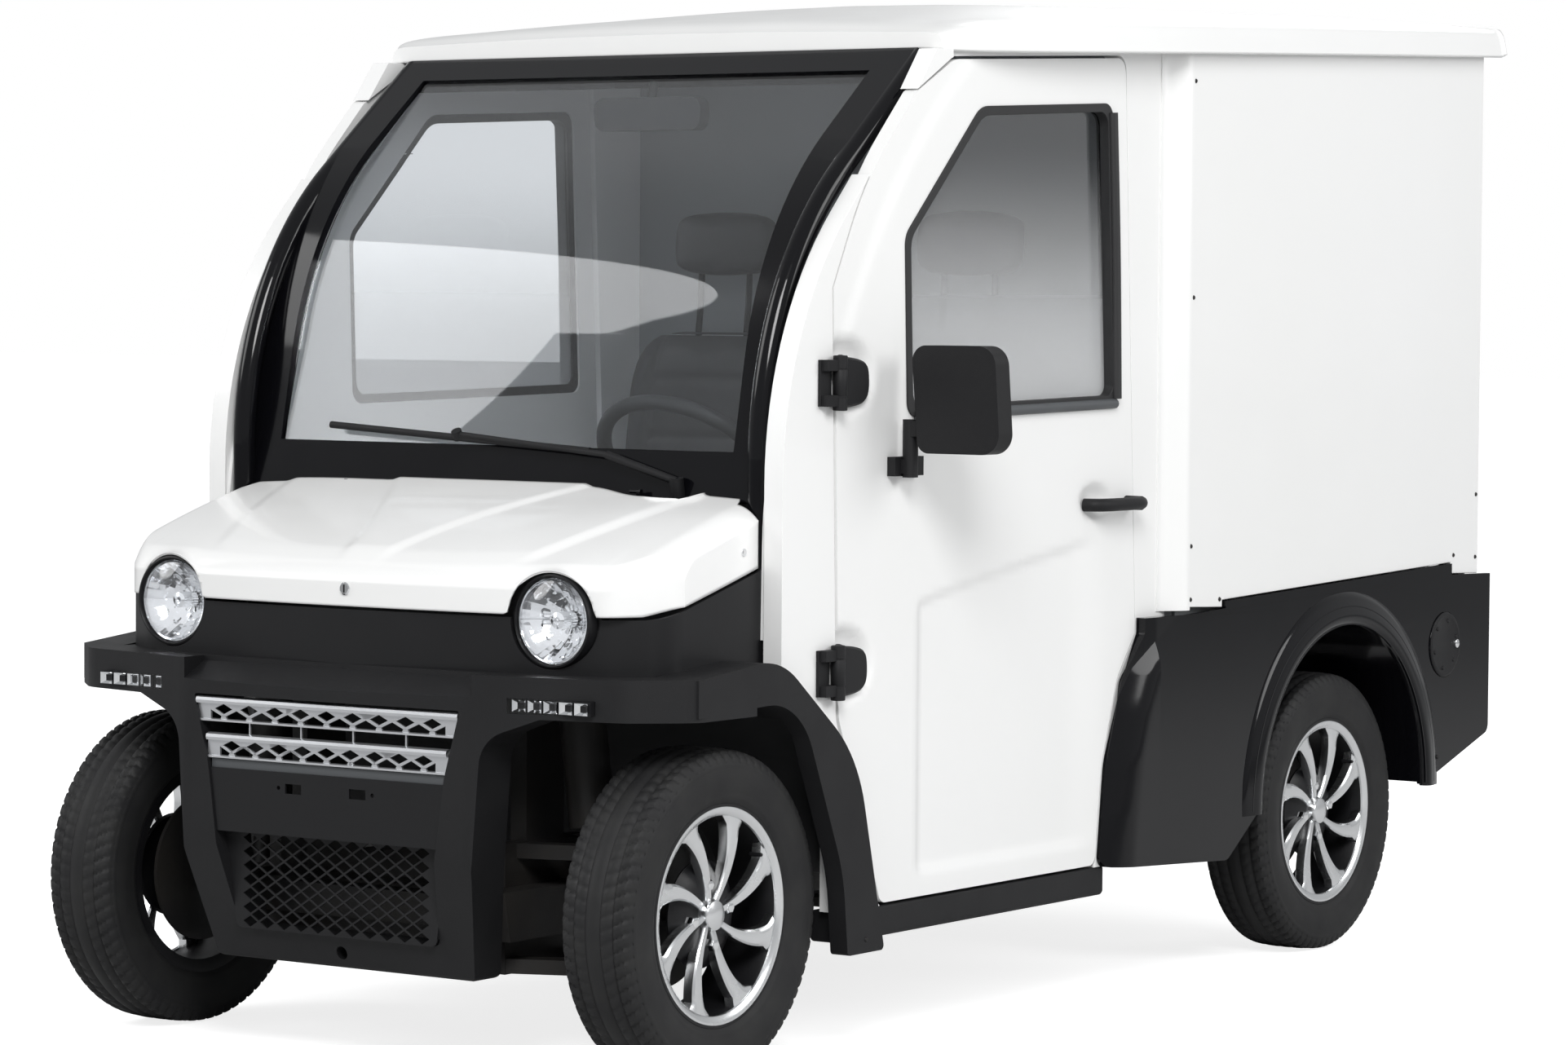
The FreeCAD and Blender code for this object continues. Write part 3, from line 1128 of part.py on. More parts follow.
under_roof = roof()
chassis()
front_suspension()
rear_axle()
cab_structure(under_roof)
windscreen()
cab_sides(under_roof)
hinge_posts()
nose()
headlamps()
bumper()
grille()
plate_and_mesh()
seats()
dashboard()
wiper()
cargo(under_roof)
rear_body()
wheels()
for side in ("left", "right"):
    door(side)
    knuckle(side)

os.makedirs("parts", exist_ok=True)
for name, shape in nodes.items():
    shape.translate(V(0, -origin_y, 0))
    shape.exportStep("parts/" + name + ".step")
    print(name, len(shape.Solids), shape.isValid(), round(shape.Volume / 1e6, 3))
print(len(nodes), "nodes")
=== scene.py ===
import json
import math

import bmesh
import bpy
import numpy as np
from mathutils import Matrix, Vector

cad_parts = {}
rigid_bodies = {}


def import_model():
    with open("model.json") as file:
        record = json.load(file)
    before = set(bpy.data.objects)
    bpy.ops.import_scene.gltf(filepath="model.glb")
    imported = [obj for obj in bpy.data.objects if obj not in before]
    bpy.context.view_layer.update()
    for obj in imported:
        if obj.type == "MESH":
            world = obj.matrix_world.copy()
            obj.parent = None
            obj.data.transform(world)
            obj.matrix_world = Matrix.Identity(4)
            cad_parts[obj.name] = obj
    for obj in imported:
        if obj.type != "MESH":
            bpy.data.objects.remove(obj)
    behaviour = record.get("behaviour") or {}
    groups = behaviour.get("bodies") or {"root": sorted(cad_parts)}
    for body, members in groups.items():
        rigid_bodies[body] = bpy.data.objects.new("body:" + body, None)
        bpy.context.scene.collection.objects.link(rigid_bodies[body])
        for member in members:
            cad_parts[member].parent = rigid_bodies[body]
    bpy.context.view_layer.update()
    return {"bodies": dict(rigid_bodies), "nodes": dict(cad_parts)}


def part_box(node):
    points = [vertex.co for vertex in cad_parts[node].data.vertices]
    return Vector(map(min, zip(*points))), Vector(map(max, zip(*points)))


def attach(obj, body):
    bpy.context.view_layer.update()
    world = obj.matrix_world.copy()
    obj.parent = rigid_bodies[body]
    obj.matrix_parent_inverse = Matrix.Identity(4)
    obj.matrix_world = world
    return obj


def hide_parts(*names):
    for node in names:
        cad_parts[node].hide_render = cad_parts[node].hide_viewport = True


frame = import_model()

# Metres. Lengths along the vehicle in the tables below count from the front axle.
FRONT_AXLE_Y = -1.165
REAR_AXLE_Y = FRONT_AXLE_Y + 2.0
HALF_TRACK = 0.54
TYRE_RADIUS = 0.266
TYRE_WIDTH = 0.145
LOWER_SIDE_X = 0.645          # outer face of the black lower body
ARCH_PLACE = (1.985, 0.300)   # middle of the rear wheel arch, along and up
COVER_PLACE = (2.400, 0.567)  # middle of the round side cover
HINGE_PLACE = (0.622, 0.292)  # axis of the cab doors, across and along
HINGE_HEIGHTS = (0.636, 1.108)
HANDLE_HEIGHT = 0.884
WIPER_PLACE = (0.384, 0.172)  # the wiper's pivot, across and along
SEAT_X = 0.270


# Camera, light and floor

def aim_camera():
    """The camera stands at the front left, at the height of the door handle, with a long lens."""
    yaw, pitch, roll = (math.radians(a) for a in (34.68, -2.70, 0.39))
    forward = np.array([-math.sin(yaw) * math.cos(pitch), math.cos(yaw) * math.cos(pitch), math.sin(pitch)])
    flat = np.array([math.cos(yaw), math.sin(yaw), 0.0])
    rise = np.cross(flat, forward)
    right = flat * math.cos(roll) + rise * math.sin(roll)
    up = rise * math.cos(roll) - flat * math.sin(roll)
    camera = bpy.data.objects.new("camera", bpy.data.cameras.new("camera"))
    bpy.context.scene.collection.objects.link(camera)
    camera.data.sensor_width = 36.0
    camera.data.lens = 112.7
    camera.data.clip_end = 200.0
    turned = Matrix([list(row) for row in np.stack([right, up, -forward], axis=1)])
    camera.matrix_world = Matrix.Translation((5.0831, -7.4782, 1.2566)) @ turned.to_4x4()
    bpy.context.scene.camera = camera


def give(node, values):
    """Set a shader node's sockets from a table of names and values."""
    for name, value in values.items():
        node.inputs[name].default_value = value


def light_room():
    """A soft world that is plain white to the camera and through glass, and four round lamps."""
    world = bpy.data.worlds.new("room")
    bpy.context.scene.world = world
    world.use_nodes = True
    nodes, links = world.node_tree.nodes, world.node_tree.links
    nodes.clear()
    out = nodes.new("ShaderNodeOutputWorld")
    mix = nodes.new("ShaderNodeMixShader")
    soft = nodes.new("ShaderNodeBackground")
    seen = nodes.new("ShaderNodeBackground")
    path = nodes.new("ShaderNodeLightPath")
    first = nodes.new("ShaderNodeMath")
    first.operation = "MAXIMUM"
    give(soft, {"Color": (0.97, 0.985, 1.0, 1), "Strength": 0.45})
    give(seen, {"Color": (1, 1, 1, 1), "Strength": 1.0})
    links.new(path.outputs["Is Camera Ray"], first.inputs[0])
    links.new(path.outputs["Is Transmission Ray"], first.inputs[1])
    links.new(first.outputs[0], mix.inputs["Fac"])
    links.new(soft.outputs[0], mix.inputs[1])
    links.new(seen.outputs[0], mix.inputs[2])
    links.new(mix.outputs[0], out.inputs["Surface"])
    lamps = [  # name, place, width in metres, power in watts
        ("key", (4.6, -6.0, 5.6), 3.2, 460.0), ("fill", (-5.5, -4.5, 4.5), 4.0, 150.0),
        ("side", (7.0, 2.5, 4.0), 4.0, 200.0), ("back", (-2.0, 7.0, 5.0), 4.0, 150.0),
    ]
    aim = np.array([0.0, 0.0, 0.8])
    for name, place, size, power in lamps:
        lamp = bpy.data.objects.new(name, bpy.data.lights.new(name, "AREA"))
        lamp.data.shape = "DISK"
        lamp.data.size = size
        lamp.data.energy = power
        bpy.context.scene.collection.objects.link(lamp)
        back = np.array(place) - aim
        side = np.cross([0, 0, 1], back)
        back, side = back / np.linalg.norm(back), side / np.linalg.norm(side)
        turned = Matrix([list(row) for row in np.stack([side, np.cross(back, side), back], axis=1)])
        lamp.matrix_world = Matrix.Translation(place) @ turned.to_4x4()
    bpy.context.scene.view_settings.view_transform = "Standard"


def lay_floor():
    """A pale floor: a square sheet, brighter to the camera than to the light that it throws back."""
    side = 60.0
    mesh = bpy.data.meshes.new("floor")
    mesh.from_pydata([(-side, -side, 0), (side, -side, 0), (side, side, 0), (-side, side, 0)], [], [(0, 1, 2, 3)])
    floor = bpy.data.objects.new("floor", mesh)
    bpy.context.scene.collection.objects.link(floor)
    mat = bpy.data.materials.new("floor_paint")
    mat.use_nodes = True
    nodes, links = mat.node_tree.nodes, mat.node_tree.links
    shader = nodes["Principled BSDF"]
    give(shader, {"Base Color": (0.6, 0.6, 0.6, 1), "Roughness": 0.9, "Specular IOR Level": 0.0,
                  "Emission Color": (1, 1, 1, 1)})
    path = nodes.new("ShaderNodeLightPath")
    glow = nodes.new("ShaderNodeMath")
    glow.operation = "MULTIPLY"
    glow.inputs[1].default_value = 0.80
    links.new(path.outputs["Is Camera Ray"], glow.inputs[0])
    links.new(glow.outputs[0], shader.inputs["Emission Strength"])
    mesh.materials.append(mat)


# Finishes

def finish_of(name, colour, roughness, metallic=0.0, coat=0.0, grain=None, stain=None, wear=0.0, gloss=0.5):
    """A painted, moulded or metal surface.

    grain is (size, height) of a fine bump and stain is (size, darker colour) of slow changes
    of tone, both from noise in the object's own coordinates; wear adds to the roughness where
    a broader noise is high.
    """
    mat = bpy.data.materials.new(name)
    mat.use_nodes = True
    mat.diffuse_color = (*colour, 1)
    nodes, links = mat.node_tree.nodes, mat.node_tree.links
    shader = nodes["Principled BSDF"]
    give(shader, {"Base Color": (*colour, 1), "Roughness": roughness, "Metallic": metallic, "Coat Weight": coat,
                  "Coat Roughness": 0.06, "Specular IOR Level": gloss})
    place = nodes.new("ShaderNodeTexCoord")
    if grain:
        noise = nodes.new("ShaderNodeTexNoise")
        bump = nodes.new("ShaderNodeBump")
        give(noise, {"Scale": 1.0 / grain[0], "Detail": 3.0})
        give(bump, {"Strength": 1.0, "Distance": grain[1]})
        links.new(place.outputs["Object"], noise.inputs["Vector"])
        links.new(noise.outputs["Fac"], bump.inputs["Height"])
        links.new(bump.outputs["Normal"], shader.inputs["Normal"])
    if stain:
        cloud = nodes.new("ShaderNodeTexNoise")
        give(cloud, {"Scale": 1.0 / stain[0], "Detail": 5.0})
        tone = nodes.new("ShaderNodeValToRGB")
        dark, plain = tone.color_ramp.elements
        dark.position, dark.color = 0.3, (*stain[1], 1)
        plain.position, plain.color = 0.7, (*colour, 1)
        links.new(place.outputs["Object"], cloud.inputs["Vector"])
        links.new(cloud.outputs["Fac"], tone.inputs["Fac"])
        links.new(tone.outputs["Color"], shader.inputs["Base Color"])
    if wear:
        broad = nodes.new("ShaderNodeTexNoise")
        span = nodes.new("ShaderNodeMapRange")
        give(broad, {"Scale": 9.0, "Detail": 4.0})
        give(span, {"From Min": 0.35, "From Max": 0.7, "To Min": roughness, "To Max": roughness + wear})
        links.new(place.outputs["Object"], broad.inputs["Vector"])
        links.new(broad.outputs["Fac"], span.inputs["Value"])
        links.new(span.outputs["Result"], shader.inputs["Roughness"])
    return mat


def glass_of(name, colour, roughness=0.0):
    """Clear or tinted glass: the tint is its own colour, and light passes through both faces."""
    mat = bpy.data.materials.new(name)
    mat.use_nodes = True
    mat.diffuse_color = (*colour, 0.35)
    give(mat.node_tree.nodes["Principled BSDF"],
         {"Base Color": (*colour, 1), "Roughness": roughness, "Transmission Weight": 1.0, "IOR": 1.45})
    return mat


def painted_light_low(material, clear_z, full_z, share):
    """Painted light on the glass: a pale diffuse layer whose share grows smoothly from nothing at one height to full
    at another.
    """
    nodes, links = material.node_tree.nodes, material.node_tree.links
    shader, out = nodes["Principled BSDF"], nodes["Material Output"]
    place = nodes.new("ShaderNodeTexCoord")
    parts = nodes.new("ShaderNodeSeparateXYZ")
    fall = nodes.new("ShaderNodeMapRange")
    fall.interpolation_type = "SMOOTHSTEP"
    give(fall, {"From Min": clear_z, "From Max": full_z, "To Min": 0.0, "To Max": share})
    # The pale diffuse layer is painted light on the glass.
    painted_light = nodes.new("ShaderNodeBsdfDiffuse")
    give(painted_light, {"Color": (0.86, 0.87, 0.88, 1)})
    mix = nodes.new("ShaderNodeMixShader")
    links.new(place.outputs["Object"], parts.inputs[0])
    links.new(parts.outputs["Z"], fall.inputs["Value"])
    links.new(fall.outputs["Result"], mix.inputs["Fac"])
    links.new(shader.outputs[0], mix.inputs[1])
    links.new(painted_light.outputs[0], mix.inputs[2])
    links.new(mix.outputs[0], out.inputs["Surface"])


WHITE = finish_of("white_gel_coat", (0.86, 0.86, 0.855), 0.28, coat=0.35, grain=(0.02, 0.00008),
                  stain=(0.9, (0.845, 0.845, 0.835)), wear=0.08)
TRIM = finish_of("grained_black_moulding", (0.011, 0.011, 0.012), 0.5, grain=(0.0011, 0.00022),
                 stain=(0.25, (0.008, 0.008, 0.009)), wear=0.12, gloss=0.28)
SATIN = finish_of("satin_black_moulding", (0.008, 0.008, 0.009), 0.4, grain=(0.0014, 0.00009), wear=0.08,
                  gloss=0.28)
GLOSS = finish_of("gloss_black_paint", (0.003, 0.003, 0.004), 0.09, coat=0.12, grain=(0.03, 0.00004), wear=0.05,
                  gloss=0.24)
STEEL = finish_of("black_chassis_paint", (0.012, 0.012, 0.013), 0.42, grain=(0.004, 0.0002),
                  stain=(0.12, (0.020, 0.018, 0.016)), wear=0.2, gloss=0.3)
SILVER = finish_of("machined_alloy", (0.80, 0.81, 0.82), 0.22, metallic=1.0, grain=(0.0016, 0.00003),
                   wear=0.08)
GRILLE = finish_of("satin_silver", (0.60, 0.61, 0.63), 0.30, metallic=0.85, coat=0.3,
                   grain=(0.002, 0.00004), wear=0.08)
POCKET = finish_of("black_wheel_pocket", (0.006, 0.006, 0.007), 0.35, grain=(0.003, 0.0001), wear=0.15,
                   gloss=0.3)
RUBBER = finish_of("tyre_rubber", (0.012, 0.012, 0.013), 0.55, grain=(0.0016, 0.00012),
                   stain=(0.06, (0.018, 0.018, 0.018)), wear=0.15, gloss=0.3)
SEAL = finish_of("seal_rubber", (0.014, 0.014, 0.015), 0.5, grain=(0.002, 0.00008), wear=0.1)
CHROME = finish_of("chrome", (0.86, 0.87, 0.88), 0.07, metallic=1.0, wear=0.05)
LINER = finish_of("grey_liner", (0.30, 0.31, 0.32), 0.5, grain=(0.003, 0.0001),
                  stain=(0.4, (0.27, 0.28, 0.29)), wear=0.1)
INTERIOR = finish_of("dark_interior", (0.030, 0.031, 0.033), 0.55, grain=(0.0014, 0.0002), wear=0.1)
SEAT = finish_of("seat_cover", (0.028, 0.029, 0.032), 0.5, grain=(0.0022, 0.00035),
                 stain=(0.1, (0.036, 0.037, 0.040)), wear=0.12)
CASE = finish_of("battery_case", (0.07, 0.075, 0.08), 0.45, grain=(0.003, 0.0001), wear=0.15)
SCREEN_GLASS = glass_of("windscreen_glass", (0.80, 0.83, 0.86))
DOOR_GLASS = glass_of("door_glass", (0.90, 0.91, 0.92))
LENS = glass_of("lamp_lens", (0.97, 0.98, 1.0))
RED_LENS = glass_of("red_lens", (0.60, 0.02, 0.015), 0.12)


# Pieces that keep the form of their solids

def new_piece(name, mesh, material, body, nodes=()):
    """A piece from a finished mesh, on its body, in its finish, standing for the nodes it replaces."""
    piece = bpy.data.objects.new(name, mesh)
    bpy.context.scene.collection.objects.link(piece)
    mesh.materials.clear()
    mesh.materials.append(material)
    if nodes:
        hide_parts(*nodes)
    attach(piece, body)
    return piece


def body_of(node):
    """The body that a node rides on."""
    for body, empty in frame["bodies"].items():
        if frame["nodes"][node].parent is empty:
            return body


def merged(node):
    """A copy of a solid's mesh with its corners joined and its flat faces made whole."""
    work = bmesh.new()
    work.from_mesh(frame["nodes"][node].data)
    bmesh.ops.remove_doubles(work, verts=work.verts, dist=3e-5)
    bmesh.ops.dissolve_limit(work, angle_limit=math.radians(0.6), verts=work.verts, edges=work.edges)
    return work


def smooth_mesh(name, work):
    """The mesh of a bmesh, shaded smooth. The bmesh is freed."""
    mesh = bpy.data.meshes.new(name)
    work.to_mesh(mesh)
    work.free()
    mesh.polygons.foreach_set("use_smooth", np.ones(len(mesh.polygons), bool))
    return mesh


def rows_of(mesh, what="co"):
    """The places or the normals of a mesh's points, one row each."""
    rows = np.zeros(len(mesh.vertices) * 3, np.float32)
    mesh.vertices.foreach_get(what, rows)
    return rows.reshape(-1, 3)


def sliced(work, cuts, rear=None):
    """Cut the faces, or those whose middle is ahead of rear, by the planes of (axis, from, to, step) rows."""
    for axis, low, high, step in cuts:
        for at in np.arange(low, high, step):
            place, normal = [0, 0, 0], [0, 0, 0]
            place[axis], normal[axis] = float(at), 1
            near = work.faces[:]
            edges, points = work.edges[:], work.verts[:]
            if rear is not None:
                near = [face for face in near if face.calc_center_median().y < rear]
                edges = list(dict.fromkeys(edge for face in near for edge in face.edges))
                points = list(dict.fromkeys(vert for face in near for vert in face.verts))
            bmesh.ops.bisect_plane(work, geom=points + edges + near, plane_co=place, plane_no=normal)


def round_edges(piece, width, segments, angle):
    """A bevel on the edges past an angle, and normals that follow the larger faces."""
    bevel = piece.modifiers.new("edge", "BEVEL")
    bevel.width = width
    bevel.segments = segments
    bevel.limit_method = "ANGLE"
    bevel.angle_limit = math.radians(angle)
    even = piece.modifiers.new("even", "WEIGHTED_NORMAL")
    even.keep_sharp = True


def softened(name, node, material, radius):
    """The solid with its sharp edges rounded off by a small radius."""
    mesh = smooth_mesh(name, merged(node))
    piece = new_piece(name, mesh, material, body_of(node), [node])
    if radius:
        round_edges(piece, radius, 2, 38)
    else:
        mesh.set_sharp_from_angle(angle=math.radians(38))


# Surfaces and meshes

def joined_mesh(name, parts, seal=True):
    """One mesh from several (points, faces, material number) parts, with its faces turned outwards."""
    points, faces, numbers, start = [], [], [], 0
    for part_points, part_faces, number in parts:
        part_points = np.asarray(part_points, float).reshape(-1, 3)
        points.append(part_points)
        faces += [[i + start for i in face] for face in part_faces]
        numbers += [number] * len(part_faces)
        start += len(part_points)
    mesh = bpy.data.meshes.new(name)
    mesh.from_pydata(np.concatenate(points).tolist(), [], faces)
    mesh.polygons.foreach_set("material_index", numbers)
    mesh.polygons.foreach_set("use_smooth", [True] * len(faces))
    if seal:
        work = bmesh.new()
        work.from_mesh(mesh)
        bmesh.ops.remove_doubles(work, verts=work.verts, dist=2e-6)
        bmesh.ops.recalc_face_normals(work, faces=work.faces)
        work.to_mesh(mesh)
        work.free()
    return mesh


def grid_faces(rows, columns, round_rows=False, round_columns=False):
    """Corner numbers of the four-sided faces of a grid, closed round either way."""
    index = np.arange(rows * columns).reshape(rows, columns)
    if round_rows:
        index = np.concatenate([index, index[:1]], axis=0)
    if round_columns:
        index = np.concatenate([index, index[:, :1]], axis=1)
    corners = [index[:-1, :-1], index[1:, :-1], index[1:, 1:], index[:-1, 1:]]
    return np.stack(corners, axis=-1).reshape(-1, 4).tolist()


def grid_part(points, round_rows=False, round_columns=False, number=0):
    """A part from a grid of points and the number of its material."""
    rows, columns = points.shape[:2]
    return points.reshape(-1, 3), grid_faces(rows, columns, round_rows, round_columns), number


def smooth_line(corners, count):
    """A smooth line of count points through the corners, in cubic pieces: the slope at a corner is
    half the step from the one before to the one after."""
    p = np.asarray(corners, float)
    p = np.concatenate([2 * p[:1] - p[1:2], p, 2 * p[-1:] - p[-2:-1]])
    s = np.linspace(0, len(corners) - 1, count)
    i = np.minimum(s.astype(int), len(corners) - 2)
    t = (s - i)[:, None]
    a, b, c, d = p[i], p[i + 1], p[i + 2], p[i + 3]
    return 0.5 * (2 * b + (c - a) * t + (2 * a - 5 * b + 4 * c - d) * t ** 2 + (3 * b - a - 3 * c + d) * t ** 3)


def turned(profile, steps, axis="x"):
    """A profile of (along, radius) rows carried once round an axis: each point is at
    (along, radius cos a, radius sin a) for the angles a of equal steps."""
    profile = np.asarray(profile, float)
    a = np.linspace(0, 2 * np.pi, steps, endpoint=False)[:, None]
    along = np.broadcast_to(profile[:, 0], (steps, len(profile)))
    c, s = profile[:, 1] * np.cos(a), profile[:, 1] * np.sin(a)
    order = {"x": (along, c, s), "y": (c, along, s), "z": (c, s, along)}[axis]
    return np.stack(order, axis=-1)


def turned_part(profile, steps, axis="x", number=0, ring=False):
    """A turned solid. A ring's profile closes on itself; any other starts and ends on the axis,
    where its first and last rows are drawn together to one point by the merge."""
    return grid_part(turned(profile, steps, axis), True, ring, number)


def box_part(low, high, number=0):
    """A block between two corners: the eight corners and six faces."""
    x0, y0, z0 = low
    x1, y1, z1 = high
    points = [(x0, y0, z0), (x1, y0, z0), (x1, y1, z0), (x0, y1, z0),
              (x0, y0, z1), (x1, y0, z1), (x1, y1, z1), (x0, y1, z1)]
    faces = [[0, 3, 2, 1], [4, 5, 6, 7], [0, 1, 5, 4], [1, 2, 6, 5], [2, 3, 7, 6], [3, 0, 4, 7]]
    return points, faces, number


def swept_part(path, section, up, number=0):
    """A closed section of (across, up) rows carried along a path: at each point the section stands
    square to the path's direction, with its up side as near to the given up as it can be."""
    path = np.asarray(path, float)
    section = np.asarray(section, float)
    ahead = np.gradient(path, axis=0)
    ahead /= np.linalg.norm(ahead, axis=1)[:, None]
    across = np.cross(ahead, up)
    across /= np.linalg.norm(across, axis=1)[:, None]
    rise = np.cross(across, ahead)
    points = path[:, None] + section[None, :, :1] * across[:, None] + section[None, :, 1:] * rise[:, None]
    flat, faces, _ = grid_part(points, False, True)
    n = len(section)
    faces += [list(range(n)), list(range(len(flat) - n, len(flat)))[::-1]]
    return flat, faces, number


def round_section(radius, steps):
    """A circle of equal steps."""
    a = np.linspace(0, 2 * np.pi, steps, endpoint=False)
    return np.stack([radius * np.cos(a), radius * np.sin(a)], axis=1)


def placed(part, centre, flip=False):
    """The part moved to a centre, and mirrored across the length of the vehicle first if flip is set."""
    points, faces, number = part
    points = np.asarray(points, float).reshape(-1, 3) * ((-1, 1, 1) if flip else (1, 1, 1))
    return points + np.asarray(centre), faces, number


def finished(name, parts, materials, body, nodes=(), seal=True, sharp=None):
    """A piece from parts, whose material numbers count along the list of materials. Edges past the
    angle sharp stay sharp."""
    mesh = joined_mesh(name, parts, seal)
    numbers = np.zeros(len(mesh.polygons), np.int32)
    mesh.polygons.foreach_get("material_index", numbers)
    piece = new_piece(name, mesh, materials[0], body, nodes)
    for material in materials[1:]:
        mesh.materials.append(material)
    mesh.polygons.foreach_set("material_index", numbers)
    if sharp:
        mesh.set_sharp_from_angle(angle=math.radians(sharp))
    return piece


# Wheels

TREAD_PITCHES = 76
GROOVES = (-0.56, -0.20, 0.20, 0.56)      # across the tread, as shares of the half width


def tyre_part():
    """A ring whose outer side has the tread cut into it.

    The section goes from bead to bead over the shoulders; the radius is then lowered by the
    depth of four grooves round the tread, and of slanting cuts that repeat TREAD_PITCHES times.
    """
    half = TYRE_WIDTH / 2 - 0.003
    corners = [(0.74, 0.170), (0.84, 0.178), (0.94, 0.195), (1.0, 0.216), (0.99, 0.236), (0.945, 0.2505),
               (0.86, 0.2600), (0.74, 0.2638), (0.40, 0.2657), (0.0, 0.2660)]
    corners = np.array(corners + [(-x, r) for x, r in corners[-2::-1]])
    line = smooth_line(corners * (half, 1), 84)
    inner = np.array([(-0.70 * half, 0.1685), (0.70 * half, 0.1685)])
    profile = np.concatenate([line, inner])
    share = profile[:, 0] / half
    steps = TREAD_PITCHES * 6
    a = np.linspace(0, 2 * np.pi, steps, endpoint=False)[:, None]
    on_tread = (profile[:, 1] > 0.2575).astype(float)
    groove = sum(np.exp(-((share - g) / 0.045) ** 2) for g in GROOVES)
    slant = a * TREAD_PITCHES / (2 * np.pi) + np.abs(share) * 1.6
    cut = (np.abs(slant % 1.0 - 0.5) < 0.14).astype(float)
    shoulder = (np.abs(share) > 0.62) & (np.abs(share) < 0.97)
    rib = (np.abs(share) > 0.27) & (np.abs(share) < 0.50)
    size = profile[:, 1]
    depth = on_tread * (0.0055 * np.minimum(groove, 1)) + cut * (0.0032 * shoulder * (size > 0.247) + 0.0022 * rib)
    ridge = 0.0009 * (np.abs(size - 0.2415) < 0.0022) + 0.0008 * (np.abs(size - 0.187) < 0.003)
    radius = size - depth
    along = np.broadcast_to(profile[:, 0] + np.sign(profile[:, 0]) * (ridge - 0.001), radius.shape)
    points = np.stack([along, radius * np.cos(a), radius * np.sin(a)], axis=-1)
    return grid_part(points, True, True)


SPOKES = 8


def spoke_part(turn):
    """One spoke: a rounded bar in the wheel's plane. Its middle line runs outwards and swings to one
    side, its width grows towards the rim, and its outer face is crowned and dips to the hub."""
    t = np.linspace(0, 1, 26)[:, None]
    v = np.linspace(0, 1, 20, endpoint=False)[None, :]
    radius = 0.022 + 0.1415 * t
    swing = turn + 0.30 * t ** 1.6
    width = 0.0062 + 0.0150 * t ** 1.7 + 0.012 * np.clip(t - 0.88, 0, 1) / 0.12
    corner = 2 * np.pi * v
    square = (np.abs(np.cos(corner)) ** 6 + np.abs(np.sin(corner)) ** 6) ** (-1 / 6)
    across = square * np.cos(corner) * width
    thick = 0.010 + 0.002 * t
    out = 0.040 + 0.0125 * t ** 0.8 + square * np.sin(corner) * thick - thick
    angle = swing + across / radius
    points = np.stack([out + 0 * angle, radius * np.cos(angle), radius * np.sin(angle)], axis=-1)
    flat, faces, _ = grid_part(points, False, True, 0)
    faces += [list(range(20)), list(range(len(flat) - 20, len(flat)))[::-1]]
    return flat, faces, 0


def wheel_parts():
    """Rim, disc, spokes, nuts and cap about the wheel's centre, with the outer side towards +x."""
    rim = [(0.0575, 0.1800), (0.0588, 0.1785), (0.0588, 0.1735), (0.0560, 0.1690), (0.0520, 0.1655),
           (0.0440, 0.1615), (0.0000, 0.1580), (-0.0540, 0.1580), (-0.0585, 0.1740), (-0.0588, 0.1800),
           (-0.0560, 0.1800), (-0.0520, 0.1690), (-0.0200, 0.1660), (0.0300, 0.1660), (0.0500, 0.1690),
           (0.0545, 0.1800)]
    lip = [(0.0589, 0.1738), (0.0592, 0.1715), (0.0575, 0.1650), (0.0540, 0.1600), (0.0510, 0.1590),
           (0.0500, 0.1620), (0.0550, 0.1700), (0.0575, 0.1738)]
    disc = [(0.012, 0.0), (0.012, 0.085), (0.018, 0.088), (0.022, 0.080), (0.030, 0.062), (0.032, 0.030),
            (0.032, 0.0)]
    cap = [(0.020, 0.0), (0.020, 0.026), (0.044, 0.026), (0.049, 0.0235), (0.0515, 0.016), (0.0525, 0.008),
           (0.0527, 0.0)]
    parts = [turned_part(rim, 96, number=1, ring=True), turned_part(lip, 96, number=0, ring=True),
             turned_part(disc, 48, number=1), turned_part(cap, 40, number=0)]
    parts += [spoke_part(turn) for turn in np.arange(SPOKES) * 2 * np.pi / SPOKES + 0.22]
    for turn in np.arange(4) * np.pi / 2 + 0.15:
        nut = [(0.028, 0.0), (0.028, 0.0105), (0.040, 0.0105), (0.0445, 0.008), (0.046, 0.0)]
        centre = (0, 0.049 * math.cos(turn), 0.049 * math.sin(turn))
        parts.append(placed(turned_part(nut, 6, number=2), centre))
    valve = [(0.030, 0.0), (0.030, 0.0035), (0.052, 0.0032), (0.055, 0.0)]
    parts.append(placed(turned_part(valve, 12, number=1), (0, 0.148 * math.cos(0.62), 0.148 * math.sin(0.62))))
    return parts


def make_wheels():
    """One tyre and one wheel, set at the four axle ends and mirrored on the right."""
    tyre = tyre_part()
    wheel = wheel_parts()
    for end, y in (("front", FRONT_AXLE_Y), ("rear", REAR_AXLE_Y)):
        for side, sign in (("left", 1), ("right", -1)):
            centre = (sign * HALF_TRACK, y, TYRE_RADIUS)
            corner = "%s_%s" % (end, side)
            flip = sign < 0
            finished("wheel_tyre_" + corner, [placed(tyre, centre, flip)], [RUBBER], "wheel_" + corner,
                     ["tyre_" + corner], sharp=50)
            finished("wheel_rim_" + corner, [placed(part, centre, flip) for part in wheel],
                     [SILVER, POCKET, CHROME], "wheel_" + corner, ["rim_" + corner], sharp=35)


# Lamps

LAMP_PLACE = (0.397, -1.336, 0.735)
RIBS = 26


